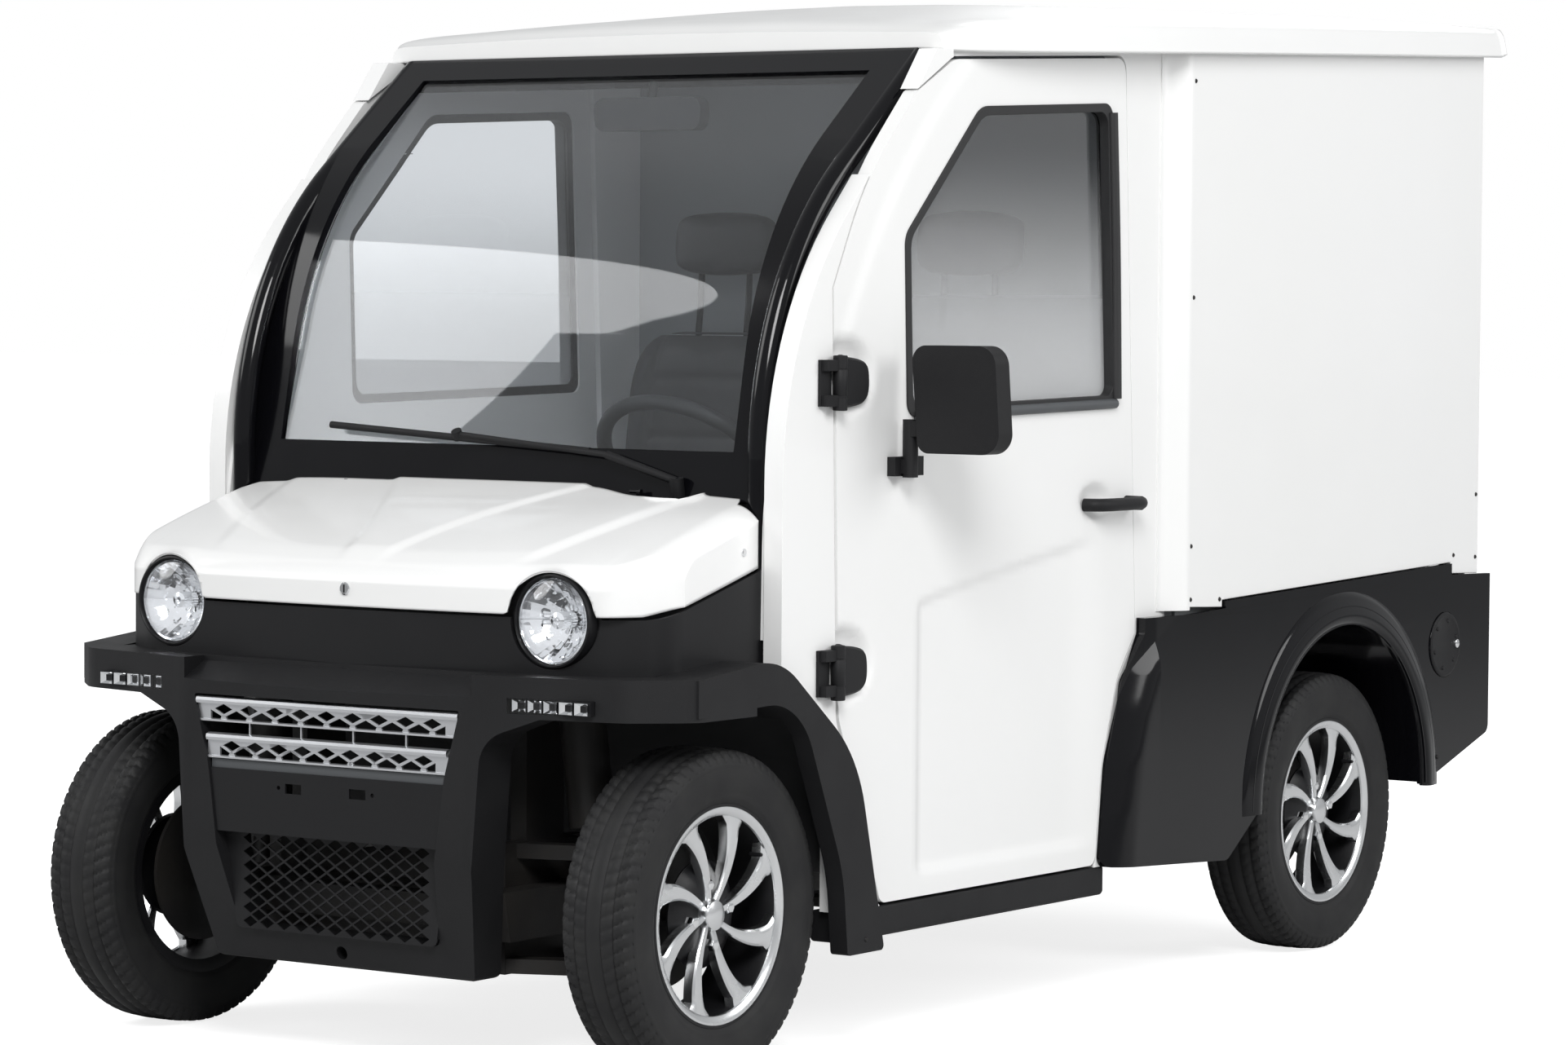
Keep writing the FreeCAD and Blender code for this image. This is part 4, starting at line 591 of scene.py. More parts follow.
def make_headlamps():
    """Round lamps: a black ring, a faceted bowl, a shield over the bulb and a domed clear lens.

    The bowl is a paraboloid, depth = k (R^2 - r^2), whose radius is pressed flat between the ribs.
    """
    ring = [(-0.010, 0.0690), (-0.013, 0.0715), (-0.012, 0.0745), (-0.006, 0.0757), (0.006, 0.0757),
            (0.020, 0.0715), (0.020, 0.0690)]
    steps, rows = 208, 30
    a = np.linspace(0, 2 * np.pi, steps, endpoint=False)[:, None]
    r = np.linspace(0.0685, 0.010, rows)[None, :]
    rib = 2 * np.pi / RIBS
    flat = np.cos(rib / 2) / np.cos((a % rib) - rib / 2)
    step = 0.0012 * (np.floor(r / 0.0115) % 2) * (0.5 + 0.5 * np.cos(a * RIBS / 2))
    depth = 0.050 * (1 - (r / 0.0700) ** 2) + step
    bowl = np.stack([r * flat * np.cos(a), -0.006 + depth + 0 * a, r * flat * np.sin(a)], axis=-1)
    shield = [(0.006, 0.0), (0.004, 0.006), (0.006, 0.0125), (0.020, 0.0135), (0.040, 0.0120), (0.044, 0.0)]
    t = np.linspace(0, 1, 14)
    front = np.stack([-0.024 + 0.018 * t ** 2.2, 0.0688 * t], axis=1)
    back = np.stack([-0.0215 + 0.0165 * t[::-1] ** 2.2, 0.0675 * t[::-1]], axis=1)
    rim_parts, bowl_parts, lens_parts = [], [], []
    for flip in (False, True):
        centre = (LAMP_PLACE[0] * (-1 if flip else 1), LAMP_PLACE[1], LAMP_PLACE[2])
        rim_parts.append(placed(turned_part(ring, 72, "y", ring=True), centre, flip))
        bowl_parts.append(placed(grid_part(bowl, True, False), centre, flip))
        bowl_parts.append(placed(turned_part(shield, 36, "y"), centre, flip))
        lens_parts.append(placed(turned_part(np.concatenate([front, back]), 72, "y"), centre, flip))
    finished("lamp_rings", rim_parts, [SATIN], "chassis", sharp=40)
    bowls = finished("lamp_bowls", bowl_parts, [CHROME], "chassis", seal=False, sharp=12)
    shell = bowls.modifiers.new("shell", "SOLIDIFY")
    shell.thickness = 0.0008
    finished("lamp_lenses", lens_parts, [LENS], "chassis", ["headlamps"])


def make_running_lamps():
    """Strip lamps: a dark tray with five bright cells, each a sunken pyramid, under the bumper's shelf."""
    parts = []
    low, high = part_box("running_lamps")
    width = 0.150
    y = float(low[1]) + 0.010
    for sign in (1, -1):
        x0 = sign * 0.436 - width / 2
        cells = np.linspace(x0, x0 + width, 6)
        parts.append(box_part((x0 + 0.0006, y + 0.010, 0.5925),
                              (x0 + width - 0.0006, float(high[1]) - 0.001, 0.6155), 1))
        for i in range(5):
            a, b = cells[i] + 0.0022, cells[i + 1] - 0.0022
            c, d = (a * 2 + b) / 3, (a + b * 2) / 3
            rim, floor = y + 0.008 - 0.004, y + 0.008 + 0.003
            points = [(a, rim, 0.5945), (b, rim, 0.5945), (b, rim, 0.6135), (a, rim, 0.6135),
                      (c, floor, 0.600), (d, floor, 0.600), (d, floor, 0.608), (c, floor, 0.608)]
            faces = [[0, 1, 5, 4], [1, 2, 6, 5], [2, 3, 7, 6], [3, 0, 4, 7], [4, 5, 6, 7]]
            parts.append((points, faces, 0))
    finished("strip_lamp_trays", parts, [CHROME, SATIN], "chassis", seal=False, sharp=10)


# Bonnet, doors and roof

def soft_step(x, low, high):
    """0 below low, 1 above high, and a smooth cubic rise between."""
    t = np.clip((x - low) / (high - low), 0, 1)
    return t * t * (3 - 2 * t)


def sheet_wall(piece, thickness):
    """Turn an open sheet's faces upwards and give it a wall on its lower side."""
    work = bmesh.new()
    work.from_mesh(piece.data)
    bmesh.ops.recalc_face_normals(work, faces=work.faces)
    if sum(face.normal.z for face in work.faces) < 0:
        bmesh.ops.reverse_faces(work, faces=work.faces)
    work.to_mesh(piece.data)
    work.free()
    wall = piece.modifiers.new("wall", "SOLIDIFY")
    wall.thickness = thickness
    wall.offset = -1.0


def make_bonnet():
    """The bonnet as one pressed sheet over the plan of the nose.

    Across, x is the half width times the sine of even steps; along, y runs from the nose's curved
    front edge to the screen. The top rises from the fold above the front face to the screen, is
    lowered near the sides by a soft shoulder, and two pairs of creases raise the middle. Rows and
    columns past the edges hang straight down to the joint with the nose band. Over a lamp, z is
    kept above a circle about its axis, which makes the brows, and points by the wiper are moved
    away from its pivot.
    """
    half, y0 = 0.564, FRONT_AXLE_Y
    lamp_reach, wiper_reach = 0.0795, 0.056
    u = np.sin(np.linspace(-1, 1, 221) * np.pi / 2)
    v = np.linspace(0, 1, 84) ** 1.25
    drop = np.linspace(1, 0, 12)[:-1]
    x = np.concatenate([np.full(11, -half), half * u, np.full(11, half)])[:, None]
    side_drop = np.concatenate([drop, np.zeros(221), drop[::-1]])[:, None]
    front_drop = np.concatenate([drop, np.zeros(84)])[None, :]
    along = np.concatenate([np.zeros(11), v])[None, :]
    ax = np.abs(x)
    front = -0.2105 + 0.030 * (ax / 0.436) ** 2.2 + 0.105 * soft_step(ax, 0.47, 0.572) ** 1.6
    rear = 0.1715 - 0.0255 * soft_step(ax, 0.508, 0.524)
    rear = rear - 0.040 * soft_step(x, 0.20, 0.34) * (1 - soft_step(x, 0.415, 0.430))
    y = front + along * (rear - front)
    back = np.clip((y + 0.185) / 0.357, 0, 1)
    crown = 0.814 + 0.116 * back ** 0.92 + 0.004 * np.sin(np.pi * back)
    fold = 0.026 * np.clip(1 - (y - front) / 0.034, 0, 1) ** 2.0
    shoulder = 0.010 * np.clip((ax - 0.30) / (half - 0.30), 0, 1) ** 2
    shoulder = shoulder + 0.022 * np.clip((ax - 0.515) / (half - 0.515), 0, 1) ** 2.2
    inner_edge = 0.040 + 0.165 * back ** 1.4
    outer_edge = 0.300 + 0.135 * back ** 0.8
    raised = 0.0050 * soft_step(inner_edge - ax, -0.012, 0.010) + 0.0055 * soft_step(outer_edge - ax, -0.018, 0.014)
    fade = soft_step(y - front, 0.012, 0.075)
    z = crown - fold - shoulder + raised * fade - 0.0035
    joint = 0.7435 + 0.097 * np.clip((y + 0.118) / 0.370, 0, 1) ** 1.08
    hang = np.maximum(side_drop, front_drop)
    z = z + (joint - z) * hang
    x = np.broadcast_to(x, z.shape).copy()
    aside = np.abs(np.abs(x) - LAMP_PLACE[0])
    over = np.sqrt(np.maximum(lamp_reach ** 2 - aside ** 2, 0)) + LAMP_PLACE[2]
    brow = soft_step(-y, 0.03, 0.10) * (aside < lamp_reach)
    lifted = np.where(hang > 0, np.maximum(z, over), (z + over) / 2 + np.sqrt((z - over) ** 2 / 4 + 2.5e-5))
    z = z + (lifted - z) * brow
    wx, wy = x - WIPER_PLACE[0], y - WIPER_PLACE[1]
    away = np.maximum(np.hypot(wx, wy), 1e-5)
    off = np.maximum(away, wiper_reach * (hang < 0.5)) / away
    x, y = WIPER_PLACE[0] + wx * off, np.minimum(WIPER_PLACE[1] + wy * off, rear + 0 * y)
    points = np.stack([x, y + y0, z], axis=-1)
    shell = finished("bonnet_shell", [grid_part(points)], [WHITE], "bonnet", ["bonnet"])
    sheet_wall(shell, 0.0035)
    lock = [(-0.0035, 0.0), (-0.0035, 0.0085), (-0.0020, 0.0105), (0.004, 0.0105), (0.004, 0.0)]
    # Painted shade: a dark bar on the lock's face stands for the shade inside its keyhole slot.
    keyhole_shade_bar = box_part((-0.0012, -0.0042, -0.0065), (0.0012, -0.0030, 0.0065), 1)
    bolt = [(0.0025, 0.0), (0.0020, 0.0045), (0.0, 0.0065), (-0.002, 0.0065), (-0.002, 0.0)]
    bolts = [placed(turned_part(bolt, 16), (half - 0.0005, y0 + 0.105, 0.838), flip) for flip in (False, True)]
    centre = (0, y0 - 0.2105, 0.772)
    finished("bonnet_lock", [placed(turned_part(lock, 28, "y"), centre), placed(keyhole_shade_bar, centre)] + bolts,
             [CHROME, POCKET], "bonnet", sharp=35)


def make_doors():
    """Each door is its solid with a finer skin, pressed inwards by a depth that depends on (y, z):
    a step along the edge by the pillar, a swage with its lower panel, scoops by the hinges and
    a shallow bowl behind the handle."""
    for name, sign in (("left", 1), ("right", -1)):
        node = "door_" + name
        work = merged(node)
        sliced(work, ((1, -0.90, 0.10, 0.011), (2, 0.25, 1.67, 0.011)))
        mesh = smooth_mesh("door_skin_" + name, work)
        co = rows_of(mesh)
        y, z = co[:, 1] - FRONT_AXLE_Y, co[:, 2]
        outer = np.abs(co[:, 0]) > 0.6085
        inside = 1.284 - np.where(z > 0.672, np.hypot(1.434 - y, z - 0.672), 1.434 - y + 0.02)
        depth = 0.0030 * (1 - soft_step(inside, 0.052, 0.072)) * (z > 0.55)
        line = 0.737 + 0.088 * np.clip((y - 0.551) / 0.57, 0, 1.2) ** 0.85
        panel = soft_step(line - z, -0.004, 0.010) * soft_step(y - 0.551, -0.006, 0.010)
        panel = panel * (1 - soft_step(y, 1.03, 1.16))
        depth += 0.0070 * panel * soft_step(z - 0.285, -0.006, 0.012)
        for hinge_z in HINGE_HEIGHTS:
            scoop = np.hypot((y - 0.330) / 0.085, (z - hinge_z - 0.012) / 0.064)
            depth += 0.014 * (1 - soft_step(scoop, 0.70, 1.0))
        bowl = np.hypot((y - 1.118) / 0.062, (z - HANDLE_HEIGHT - 0.006) / 0.034)
        depth += 0.010 * (1 - soft_step(bowl, 0.45, 1.0))
        co[:, 0] -= np.where(outer, sign * depth, 0)
        mesh.vertices.foreach_set("co", co.ravel())
        skin = new_piece("door_skin_" + name, mesh, WHITE, node, [node])
        round_edges(skin, 0.005, 3, 55)


ROOF_SECTIONS = [  # station, half width, height of the rim's lower edge, height of the crown
    (0.634, 0.597, 1.665, 1.703), (0.710, 0.634, 1.665, 1.727), (0.900, 0.654, 1.671, 1.751),
    (1.300, 0.664, 1.687, 1.787), (1.900, 0.664, 1.710, 1.806), (2.530, 0.664, 1.733, 1.821),
    (2.598, 0.658, 1.736, 1.793),
]


def make_roof():
    """The roof as one moulded sheet: the section across is a rolled rim, a rounded shoulder and a
    low crown, and its sizes run smoothly through the stations. Rows past both ends fold down."""
    table = smooth_line(ROOF_SECTIONS, 90)
    station, half, low, crown = (table[:, i:i + 1] for i in range(4))
    rise = np.minimum(0.046, (crown - low) * 0.66)
    corners = [  # share of the half width, of the rim's height and of the crown's rise
        (1.0, -0.02, 0), (0.996, 0.30, 0), (0.9915, 0.62, 0), (0.985, 0.88, 0.02), (0.972, 1.02, 0.06),
        (0.93, 1.06, 0.17), (0.80, 1.0, 0.46), (0.55, 1.0, 0.77), (0.28, 1.0, 0.94), (0.0, 1.0, 1.0),
    ]
    shape = smooth_line(corners, 46)
    across, lift, dome = (np.concatenate([shape[:, i], shape[-2::-1, i] * turn])[None]
                          for i, turn in ((0, -1), (1, 1), (2, 1)))
    flange = 0.0006 * np.exp(-((lift + 0.02) / 0.08) ** 2)
    x = half * across + np.sign(across) * flange
    z = low + np.maximum(rise * lift, 0.0) + (crown - low - rise) * dome
    y = np.broadcast_to(station, z.shape)
    rows = [np.stack([x, y, z], axis=-1)]
    down = np.linspace(0, 1, 7)[1:, None]
    for end in (0, -1):
        lower = z[end] + (low[end] - z[end]) * down
        fold = np.stack([np.broadcast_to(x[end], lower.shape), np.broadcast_to(y[end], lower.shape), lower], axis=-1)
        rows = [fold[::-1]] + rows if end == 0 else rows + [fold]
    points = np.concatenate(rows)
    points[..., 1] += FRONT_AXLE_Y
    sheet = finished("roof_moulding", [grid_part(points)], [WHITE], "chassis", ["roof"])
    sheet_wall(sheet, 0.008)
    sheet.data.set_sharp_from_angle(angle=math.radians(50))


# Seats

CLOTH_FRAMES = 20


def bent(value):
    """The value's sign times its size to the power 0.42."""
    return np.sign(value) * np.abs(value) ** 0.42


def pad_part(centre, half, lean):
    """A closed rounded block: x = a f(cos p) f(cos t), y = b f(cos p) f(sin t), z = c f(sin p), where
    f is bent(); then it leans back about x by an angle in degrees."""
    p = np.linspace(-0.5, 0.5, 23)[:, None] * np.pi
    t = np.linspace(0, 2 * np.pi, 64, endpoint=False)[None, :]
    x = half[0] * bent(np.cos(p)) * bent(np.cos(t))
    y = half[1] * bent(np.cos(p)) * bent(np.sin(t))
    z = half[2] * bent(np.sin(p)) * np.ones_like(t)
    turn = math.radians(lean)
    points = np.stack([centre[0] + x, centre[1] + y * math.cos(turn) + z * math.sin(turn),
                       centre[2] + z * math.cos(turn) - y * math.sin(turn)], axis=-1)
    return grid_part(points, round_columns=True)


def filled_pad(name, node, parts, channels, cap):
    """Stuffed covers: an even skin over the rounded blocks is blown up as cloth, no point moving
    further than cap; channels(x, y, z) then gives how deep the sewn lines draw it in."""
    pad = new_piece(name, joined_mesh(name, parts), SEAT, "chassis", [node])
    even = pad.modifiers.new("even", "REMESH")
    even.mode = "VOXEL"
    even.voxel_size = 0.009
    bpy.context.view_layer.update()
    skin = bpy.data.meshes.new_from_object(pad.evaluated_get(bpy.context.evaluated_depsgraph_get()))
    pad.modifiers.remove(even)
    pad.data = skin
    start = rows_of(skin)
    end = start
    cloth = pad.modifiers.new("cover", "CLOTH")
    cloth.settings.quality = 4
    cloth.settings.use_pressure = True
    cloth.settings.uniform_pressure_force = 4.0
    cloth.settings.effector_weights.gravity = 0.0
    cloth.point_cache.frame_start, cloth.point_cache.frame_end = 1, CLOTH_FRAMES
    scene = bpy.context.scene
    for number in range(1, CLOTH_FRAMES + 1):
        scene.frame_set(number)
    end = rows_of(pad.evaluated_get(bpy.context.evaluated_depsgraph_get()).to_mesh())
    pad.modifiers.remove(cloth)
    scene.frame_set(1)
    move = end - start
    far = np.linalg.norm(move, axis=1, keepdims=True)
    now = start + move * np.minimum(1, cap / np.maximum(far, 1e-9))
    now = now - rows_of(skin, "normal") * channels(start[:, 0], start[:, 1], start[:, 2])[:, None]
    skin.vertices.foreach_set("co", now.astype(np.float32).ravel())
    skin.polygons.foreach_set("use_smooth", np.ones(len(skin.polygons), bool))
    skin.materials.clear()
    skin.materials.append(SEAT)
    finer = pad.modifiers.new("finer", "SUBSURF")
    finer.levels = finer.render_levels = 1


def line_of(distance):
    """The depth of a sewn line: a bell curve of the distance from it."""
    return 0.005 * np.exp(-(distance / 0.007) ** 2)


def make_seats():
    """Two seats: cushion, back and head rest, each drawn in along its sewn lines."""
    y0 = FRONT_AXLE_Y
    cushions, backs, posts = [], [], []
    for sign in (1, -1):
        at = sign * SEAT_X
        cushions.append(pad_part((at, y0 + 0.905, 0.611), (0.207, 0.192, 0.045), -3))
        backs.append(pad_part((at, y0 + 1.184, 0.905), (0.200, 0.046, 0.285), 7))
        backs.append(pad_part((at, y0 + 1.229, 1.3455), (0.108, 0.032, 0.056), 6))
        for dx in (-0.055, 0.055):
            path = [(at + dx, y0 + 1.216, 1.165), (at + dx, y0 + 1.224, 1.230), (at + dx, y0 + 1.229, 1.305)]
            posts.append(swept_part(path, round_section(0.006, 14), (1, 0, 0)))

    def cushion_lines(x, y, z):
        """Two lines along and, between them, three across, on the upper side."""
        across = np.abs(np.abs(x) - SEAT_X)
        crossing = sum(line_of(y - y0 - at) for at in (0.800, 0.900, 1.000))
        return (line_of(across - 0.128) + crossing * (across < 0.128)) * soft_step(z, 0.600, 0.630)

    def back_lines(x, y, z):
        """Two upright lines and, between them, four across, on the front below the head rest."""
        across = np.abs(np.abs(x) - SEAT_X)
        front = soft_step(-(y - y0 - 1.184 - (z - 0.905) * 0.123), 0.0, 0.02) * (z < 1.22)
        crossing = sum(line_of(z - at) for at in (0.74, 0.86, 0.98, 1.09))
        return (line_of(across - 0.120) + crossing * (across < 0.120)) * front

    filled_pad("seat_pads", "seat_cushions", cushions, cushion_lines, 0.010)
    filled_pad("seat_back_pads", "seat_backs", backs, back_lines, 0.010)
    finished("headrest_posts", posts, [STEEL], "chassis", ["seat_backs"])


# Lower body

def make_lower_body():
    """The black lower body keeps its solid's outline. Its outer skin is pressed so that, at each
    height, it turns in along a quarter of a sine wave from the fold to the edge by the door. A
    bead, a bowed section carried round the arch, stands on it."""
    heights = [0.217, 0.332, 0.433, 0.518, 0.589, 0.644, 0.676]
    edges = [1.124, 1.136, 1.148, 1.175, 1.210, 1.262, 1.330]
    folds = [1.204, 1.219, 1.236, 1.264, 1.302, 1.356, 1.425]
    work = merged("rear_fenders")
    sliced(work, ((1, -0.045, 0.30, 0.009), (2, 0.225, 0.675, 0.0125)), 0.42)
    mesh = smooth_mesh("lower_body", work)
    co = rows_of(mesh)
    y, z = co[:, 1] - FRONT_AXLE_Y, co[:, 2]
    flat = np.minimum(0.614 + 0.032 * (y - 1.100) / 0.200, LOWER_SIDE_X)
    outer = (np.abs(co[:, 0]) > flat - 0.0015) & (y < 1.50)
    edge, fold = np.interp(z, heights, edges), np.interp(z, heights, folds)
    skin = 0.609 + 0.036 * np.sin(np.pi / 2 * np.clip((y - edge) / (fold - edge), 0, 1))
    co[:, 0] = np.where(outer, np.sign(co[:, 0]) * skin, co[:, 0])
    mesh.vertices.foreach_set("co", co.ravel())
    round_edges(new_piece("lower_body", mesh, GLOSS, "chassis", ["rear_fenders"]), 0.0035, 2, 50)
    angle = np.linspace(-0.02, math.pi + 0.02, 73)
    section = np.array([(-0.019, -0.006), (-0.0185, 0.003), (-0.015, 0.0085), (-0.007, 0.0112), (0.004, 0.0105),
                        (0.018, 0.0075), (0.032, 0.0035), (0.044, 0.0004), (0.046, -0.006)])
    beads = []
    for sign in (1, -1):
        radius = 0.346 + section[:, 0][None]
        points = np.stack([sign * (LOWER_SIDE_X + section[:, 1][None] + 0 * angle[:, None]),
                           FRONT_AXLE_Y + ARCH_PLACE[0] + radius * np.cos(angle)[:, None],
                           ARCH_PLACE[1] + radius * np.sin(angle)[:, None]], axis=-1)
        beads.append(grid_part(points if sign > 0 else points[::-1], round_columns=True))
    finished("arch_beads", beads, [GLOSS], "chassis", sharp=60)


# Small fittings

SCREW = [(0.0025, 0.0), (0.0020, 0.0030), (0.0003, 0.0042), (-0.0020, 0.0042), (-0.0020, 0.0)]


def side_parts(profile, steps, rows, number=0):
    """The turned profile set at each (side, x, y, z) row, facing outwards."""
    return [placed(turned_part(profile, steps, "x", number), (side * x, FRONT_AXLE_Y + y, z), side < 0)
            for side, x, y, z in rows]


def plate_part(outline, low, high, edge):
    """A flat plate with a rounded rim: the outline at its foot, at its shoulder and, drawn towards
    its middle by the edge's size, at its top, then closed over a middle point."""
    middle = outline.mean(axis=0)
    away = outline - middle
    inner = middle + away * (1 - edge / np.linalg.norm(away, axis=1, keepdims=True))
    centre = middle + away * 1e-4
    rows = [(centre, low), (outline, low), (outline, high - edge), (inner, high), (centre, high)]
    points = np.stack([np.column_stack([np.full(len(ring), x), ring]) for ring, x in rows])
    return grid_part(points, round_columns=True)


def make_rivets():
    """Small domed heads along the box's lower and front edges and at the ends of the arches."""
    box_rows = ((1.403, 0.80), (1.403, 0.703), (1.509, 0.699), (2.443, 0.742), (2.538, 0.735), (2.538, 0.86),
                (1.403, 1.25), (1.403, 1.64))
    rows = []
    for side in (1, -1):
        rows += [(side, 0.6402, y, z) for y, z in box_rows]
        rows += [(side, 0.6452, 0.345, 0.196), (side, 0.6458, 2.375, 0.345)]
    finished("side_rivets", side_parts(SCREW, 12, rows), [STEEL], "chassis", sharp=35)


def make_fairings():
    """The white corner between cab and box: its face steps outwards along a smooth cubic."""
    y = np.linspace(1.334, 1.400, 16)
    x = 0.6105 + 0.0302 * soft_step(y, 1.340, 1.394)
    section = np.array([(1.332, 0.600)] + list(zip(y, x)) + [(1.401, 0.600)])
    heights = np.linspace(0.684, 1.700, 3)[:, None]
    shape = (len(heights), len(section))
    fairings = []
    for side in (1, -1):
        points = np.stack([side * np.broadcast_to(section[:, 1], shape),
                           np.broadcast_to(FRONT_AXLE_Y + section[:, 0], shape),
                           np.broadcast_to(heights, shape)], axis=-1)
        fairings.append(grid_part(points if side < 0 else points[::-1], round_columns=True))
    finished("corner_fairings", fairings, [WHITE], "chassis", ["cab_sides"], sharp=40)


def make_covers():
    """A round cover with six screws and a lock: on the charging lid at the left, fixed at the right."""
    cover = [(0.0020, 0.0), (0.0020, 0.0535), (0.0034, 0.0560), (0.0036, 0.0605), (0.0022, 0.0632),
             (-0.0030, 0.0636), (-0.0030, 0.0)]
    lock = [(0.0075, 0.0), (0.0075, 0.0060), (0.0060, 0.0085), (0.0, 0.0088), (0.0, 0.0)]
    y, z = COVER_PLACE
    turns = np.arange(6) * math.pi / 3 + 0.3
    x = LOWER_SIDE_X + 0.0005
    for name, side, body, lock_y, nodes in (("left", 1, body_of("charging_lid"), y + 0.044, ["charging_lid"]),
                                            ("right", -1, "chassis", y, [])):
        heads = [(side, x + 0.002, y + 0.047 * math.cos(a), z + 0.047 * math.sin(a)) for a in turns]
        parts = side_parts(cover, 64, [(side, x, y, z)]) + side_parts(SCREW, 12, heads)
        parts += side_parts(lock, 24, [(side, x, lock_y, z)], 1)
        finished("round_cover_" + name, parts, [TRIM, CHROME], body, nodes, sharp=40)


def make_door_hardware():
    """Hinge leaves and barrels, the handle's bar with its lock, and the rails under the windows."""
    y0, z = FRONT_AXLE_Y, HANDLE_HEIGHT
    leaf = smooth_line([(0.303, -0.041), (0.340, -0.039), (0.371, -0.033), (0.385, -0.018), (0.387, 0.010),
                        (0.380, 0.030), (0.358, 0.038), (0.325, 0.042), (0.303, 0.043), (0.3025, 0.0),
                        (0.303, -0.041)], 44)[:-1]
    barrel = [(-0.022, 0.0), (-0.022, 0.0105), (-0.020, 0.0120), (0.020, 0.0120), (0.022, 0.0105), (0.022, 0.0)]
    short = [(along * 0.5, radius) for along, radius in barrel]
    knob = [(0.040, 0.0), (0.040, 0.009), (0.036, 0.0125), (0.0, 0.0130), (0.0, 0.0)]
    path = smooth_line([(0.606, 1.085, z), (0.626, 1.090, z), (0.637, 1.110, z), (0.6405, 1.160, z),
                        (0.6400, 1.215, z), (0.634, 1.236, z)], 30)
    bar = swept_part(path, round_section(0.0115, 20), (0, 0, 1))
    rear = swept_part(smooth_line([(0.6125, 1.1795, 1.070), (0.6125, 1.171, 1.330), (0.6125, 1.157, 1.575)], 12),
                      round_section(0.0105, 12), (1, 0, 0))
    # The lower rail takes the lighter grey battery-case finish: partly its own dark grey, partly a painted highlight
    # along it.
    lower = swept_part(smooth_line([(0.6125, 0.530, 1.0495), (0.6125, 0.860, 1.0555), (0.6125, 1.176, 1.0615)], 12),
                       round_section(0.0090, 12), (1, 0, 0), 1)
    for name, side in (("left", 1), ("right", -1)):
        flip = side < 0
        parts, fixed = [], []
        for z in HINGE_HEIGHTS:
            plate = plate_part(leaf + np.array([0.0, z]), 0.6075, 0.6175, 0.004)
            arm = box_part((0.609, 0.303, z - 0.021), (0.6245, 0.312, z + 0.021))
            web = box_part((0.6185, 0.292, z - 0.021), (0.6255, 0.308, z + 0.021))
            axis = (side * HINGE_PLACE[0], y0 + HINGE_PLACE[1])
            parts += [placed(part, (0, y0, 0), flip) for part in (plate, arm, web)]
            parts.append(placed(turned_part(barrel, 28, "z"), (*axis, z)))
            fixed += [placed(turned_part(short, 28, "z"), (*axis, z + rise)) for rise in (-0.034, 0.034)]
        parts.append(placed(bar, (0, y0, 0), flip))
        parts += side_parts(knob, 24, [(side, 0.606, 1.224, HANDLE_HEIGHT)])
        door = "door_" + name
        finished("door_hardware_" + name, parts, [TRIM], door, [door + "_fittings"], sharp=40)
        finished("hinge_barrels_" + name, fixed, [TRIM], "chassis", ["hinge_posts"], sharp=40)
        finished("window_rails_" + name, [placed(part, (0, y0, 0), flip) for part in (rear, lower)],
                 [SEAL, CASE], door, sharp=40)


# Grille

def slab_part(outline, front, depth):
    """A flat convex outline of (x, z) rows given a depth behind its front."""
    n = len(outline)
    points = [(x, front, z) for x, z in outline] + [(x, front + depth, z) for x, z in outline]
    faces = [list(range(n)), list(range(n, 2 * n))[::-1]]
    faces += [[(i + 1) % n, i, i + n, (i + 1) % n + n] for i in range(n)]
    return np.array(points), faces, 0


def make_grille():
    """Two bars, each a rounded top rail, a row of diamond openings under it, a row of triangles
    between their feet and a thin lower rail; a grey strip below and four ties between."""
    front, pitch, half_w, half_h = FRONT_AXLE_Y - 0.2575, 0.0545, 0.0195, 0.0085
    wide, thin, step = 0.273, 0.0042, 0.0005
    rail = np.array([(0.0, -0.0120), (-0.0045, -0.0118), (-0.0062, -0.0070), (-0.0048, -0.0022), (0.0, 0.0),
                     (0.0070, 0.0)])
    lip = np.array([(0.0, -0.0045), (-0.0030, -0.0043), (-0.0036, -0.0010), (0.0, 0.0), (0.0050, 0.0)])
    bend = np.linspace(-1, 1, 15)[:, None]
    parts = []
    for top, half in ((0.5885, wide), (0.5290, 0.251)):
        middle = top - 0.0205
        foot = middle - half_h - 0.0035
        low = foot - 0.0080
        crest, root = middle + half_h, top - 0.010
        for section, lift in ((rail, top), (lip, low + 0.0040)):
            shape = (len(bend), len(section))
            points = np.stack([np.broadcast_to(half * bend, shape), np.broadcast_to(front + section[:, 0], shape),
                               np.broadcast_to(lift + section[:, 1], shape)], axis=-1)
            parts.append(grid_part(points, round_columns=True))
        share = half / wide
        reach = pitch / 2 * share
        for x in (np.arange(9) - 4) * pitch * share:
            for turn in (1, -1):
                edge, post, leg = x + turn * reach, x + turn * half_w, x + turn * thin
                parts += [
                    slab_part([(x, crest), (x, root), (edge, root), (edge, middle), (post, middle)], front, 0.004),
                    slab_part([(post, middle + step), (edge, middle + step), (edge, middle - 0.0020), (leg, foot),
                               (x, foot), (x, middle - half_h)], front + step, 0.0035),
                    slab_part([(x, foot + step), (leg, foot + step), (x + turn * thin * 2.2, low), (x, low)],
                              front + step, 0.0035),
                ]
        for turn in (1, -1):
            end, side, high = turn * (4 * pitch * share + reach), turn * half, top - 0.008
            parts.append(slab_part([(end, high), (side, high), (side, low), (end, low)], front, 0.004))
    for x in (np.arange(4) - 1.5) * pitch * 2:
        a, b = x - 0.0014, x + 0.0014
        parts.append(slab_part([(a, 0.551), (b, 0.551), (b, 0.527), (a, 0.527)], front + 0.002, 0.003))
    parts.append(box_part((-0.244, front + 0.002, 0.4720), (0.244, front + 0.010, 0.4865), 1))
    finished("grille_bars", parts, [GRILLE, CASE], "chassis", ["grille"], sharp=35)


# The whole vehicle

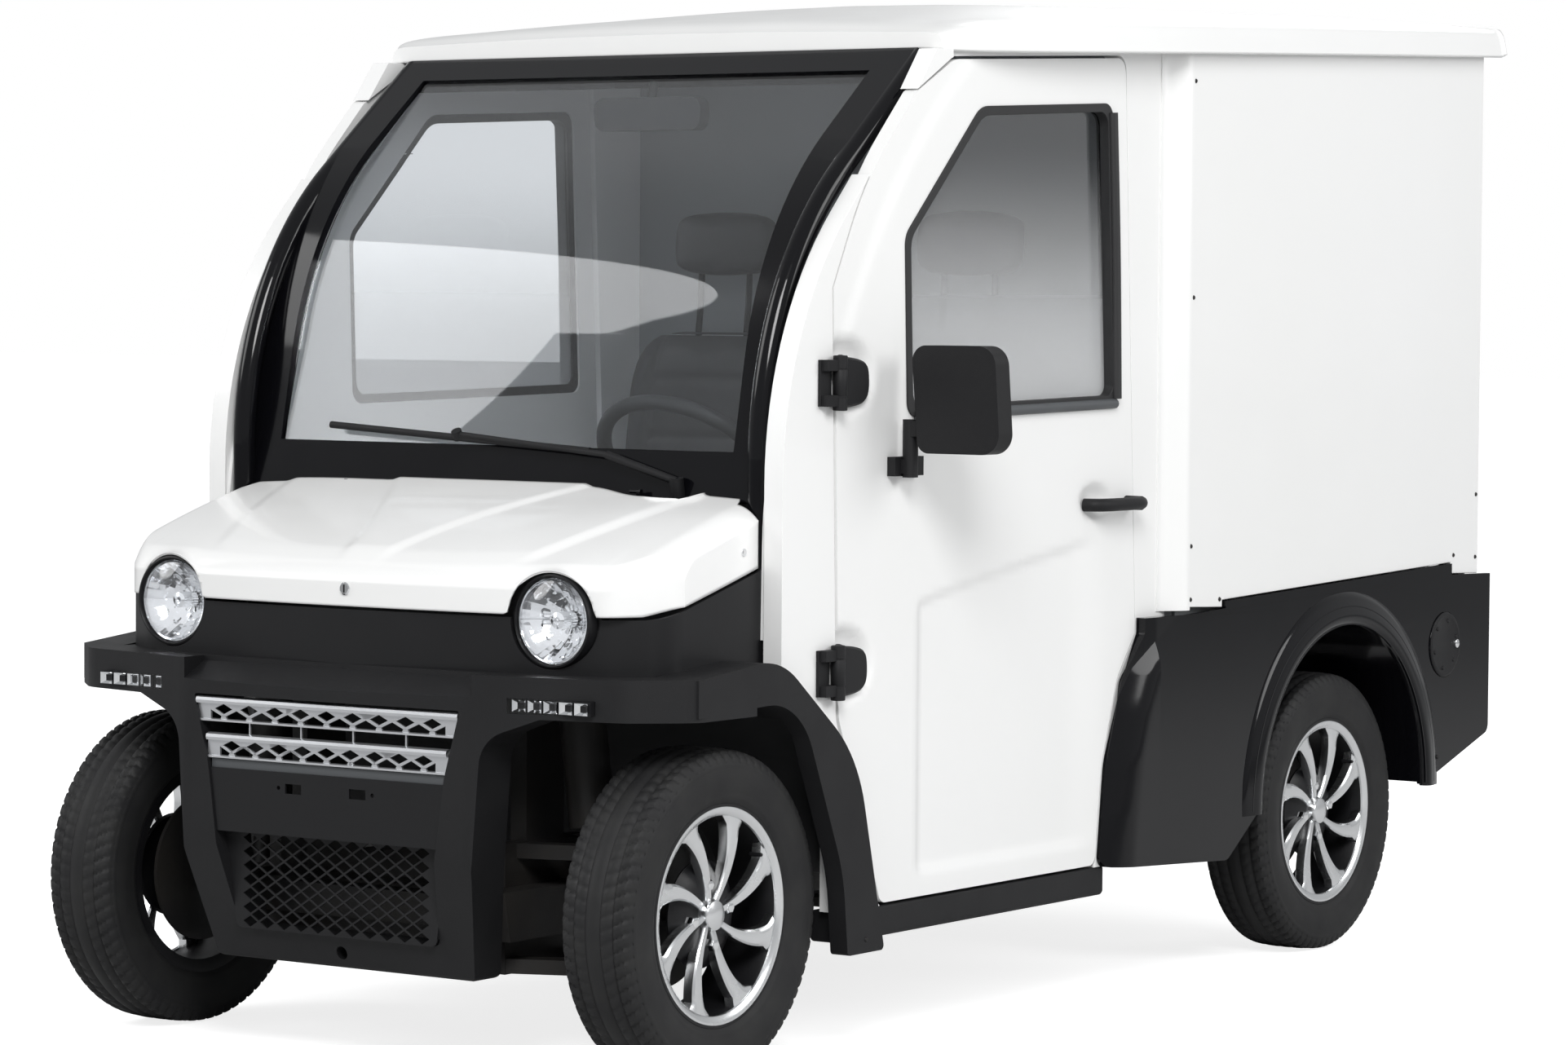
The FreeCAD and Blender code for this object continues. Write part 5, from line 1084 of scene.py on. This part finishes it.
SOFTENED = [  # name, node, material, slot, edge radius in metres
    ("chassis_rails", "chassis_frame", STEEL, "steel_black", 0.002),
    ("front_arms", "front_suspension", STEEL, "steel_black", 0.0015),
    ("rear_axle_beam", "rear_axle", STEEL, "steel_black", 0.0015),
    ("cab_floor_pan", "cab_floor", INTERIOR, "interior", 0.002),
    ("cab_bulkhead", "bulkhead", LINER, "liner", 0.002),
    ("sill_strips", "sills", TRIM, "black_trim", 0.003),
    ("battery_case", "battery_block", CASE, "battery", 0.004),
    ("cab_frame", "cab_sides", WHITE, "white_panel", 0.002),
    ("windscreen_surround", "windscreen_frame", GLOSS, "gloss_black", 0.002),
    ("hinge_mounts", "hinge_posts", TRIM, "black_trim", 0.001),
    ("nose_band", "nose_panel", SATIN, "black_trim", 0.003),
    ("bumper_moulding", "front_bumper", TRIM, "black_trim", 0.006),
    ("plate_bracket", "plate_carrier", SATIN, "black_trim", 0.002),
    ("intake_screen", "intake_mesh", TRIM, "black_trim", 0.0),
    ("dash_moulding", "dashboard", INTERIOR, "interior", 0.008),
    ("column_shroud", "steering_column", INTERIOR, "interior", 0.002),
    ("steering_rim", "steering_wheel", INTERIOR, "interior", 0.001),
    ("cab_mirror", "interior_mirror", INTERIOR, "interior", 0.003),
    ("wiper_arm", "wiper", TRIM, "black_trim", 0.001),
    ("box_walls", "cargo_sides", WHITE, "white_panel", 0.002),
    ("box_floor", "cargo_floor", LINER, "liner", 0.001),
    ("rear_frame", "rear_portal", WHITE, "white_panel", 0.003),
    ("rear_door_shell_left", "rear_door_left", WHITE, "white_panel", 0.002),
    ("rear_door_shell_right", "rear_door_right", WHITE, "white_panel", 0.002),
    ("charging_cover", "charging_lid", GLOSS, "gloss_black", 0.002),
    ("rear_bar", "rear_bumper", TRIM, "black_trim", 0.003),
]
for side in ("left", "right"):
    SOFTENED += [
        ("door_seal_strip_" + side, "door_%s_seal" % side, SEAL, "seal", 0.001),
        ("door_mirror_head_" + side, "door_%s_mirror" % side, TRIM, "black_trim", 0.006),
        ("hub_carrier_" + side, "knuckle_" + side, STEEL, "steel_black", 0.001),
    ]

for name, node, material, slot, radius in SOFTENED:
    softened(name, node, material, radius)

CLEAR = [("windscreen", SCREEN_GLASS), ("door_left_glass", DOOR_GLASS), ("door_right_glass", DOOR_GLASS),
         ("running_lamps", LENS), ("tail_lamps", RED_LENS)]
for node, material in CLEAR:
    frame["nodes"][node].data.materials.clear()
    frame["nodes"][node].data.materials.append(material)

make_bonnet()
make_doors()
make_roof()
make_lower_body()
make_seats()
make_wheels()
make_headlamps()
make_running_lamps()
make_rivets()
make_fairings()
make_covers()
make_door_hardware()
make_grille()
# Painted light: the door glass turns paler towards its lower edge.
painted_light_low(DOOR_GLASS, 1.52, 1.06, 0.42)

aim_camera()
light_room()
lay_floor()
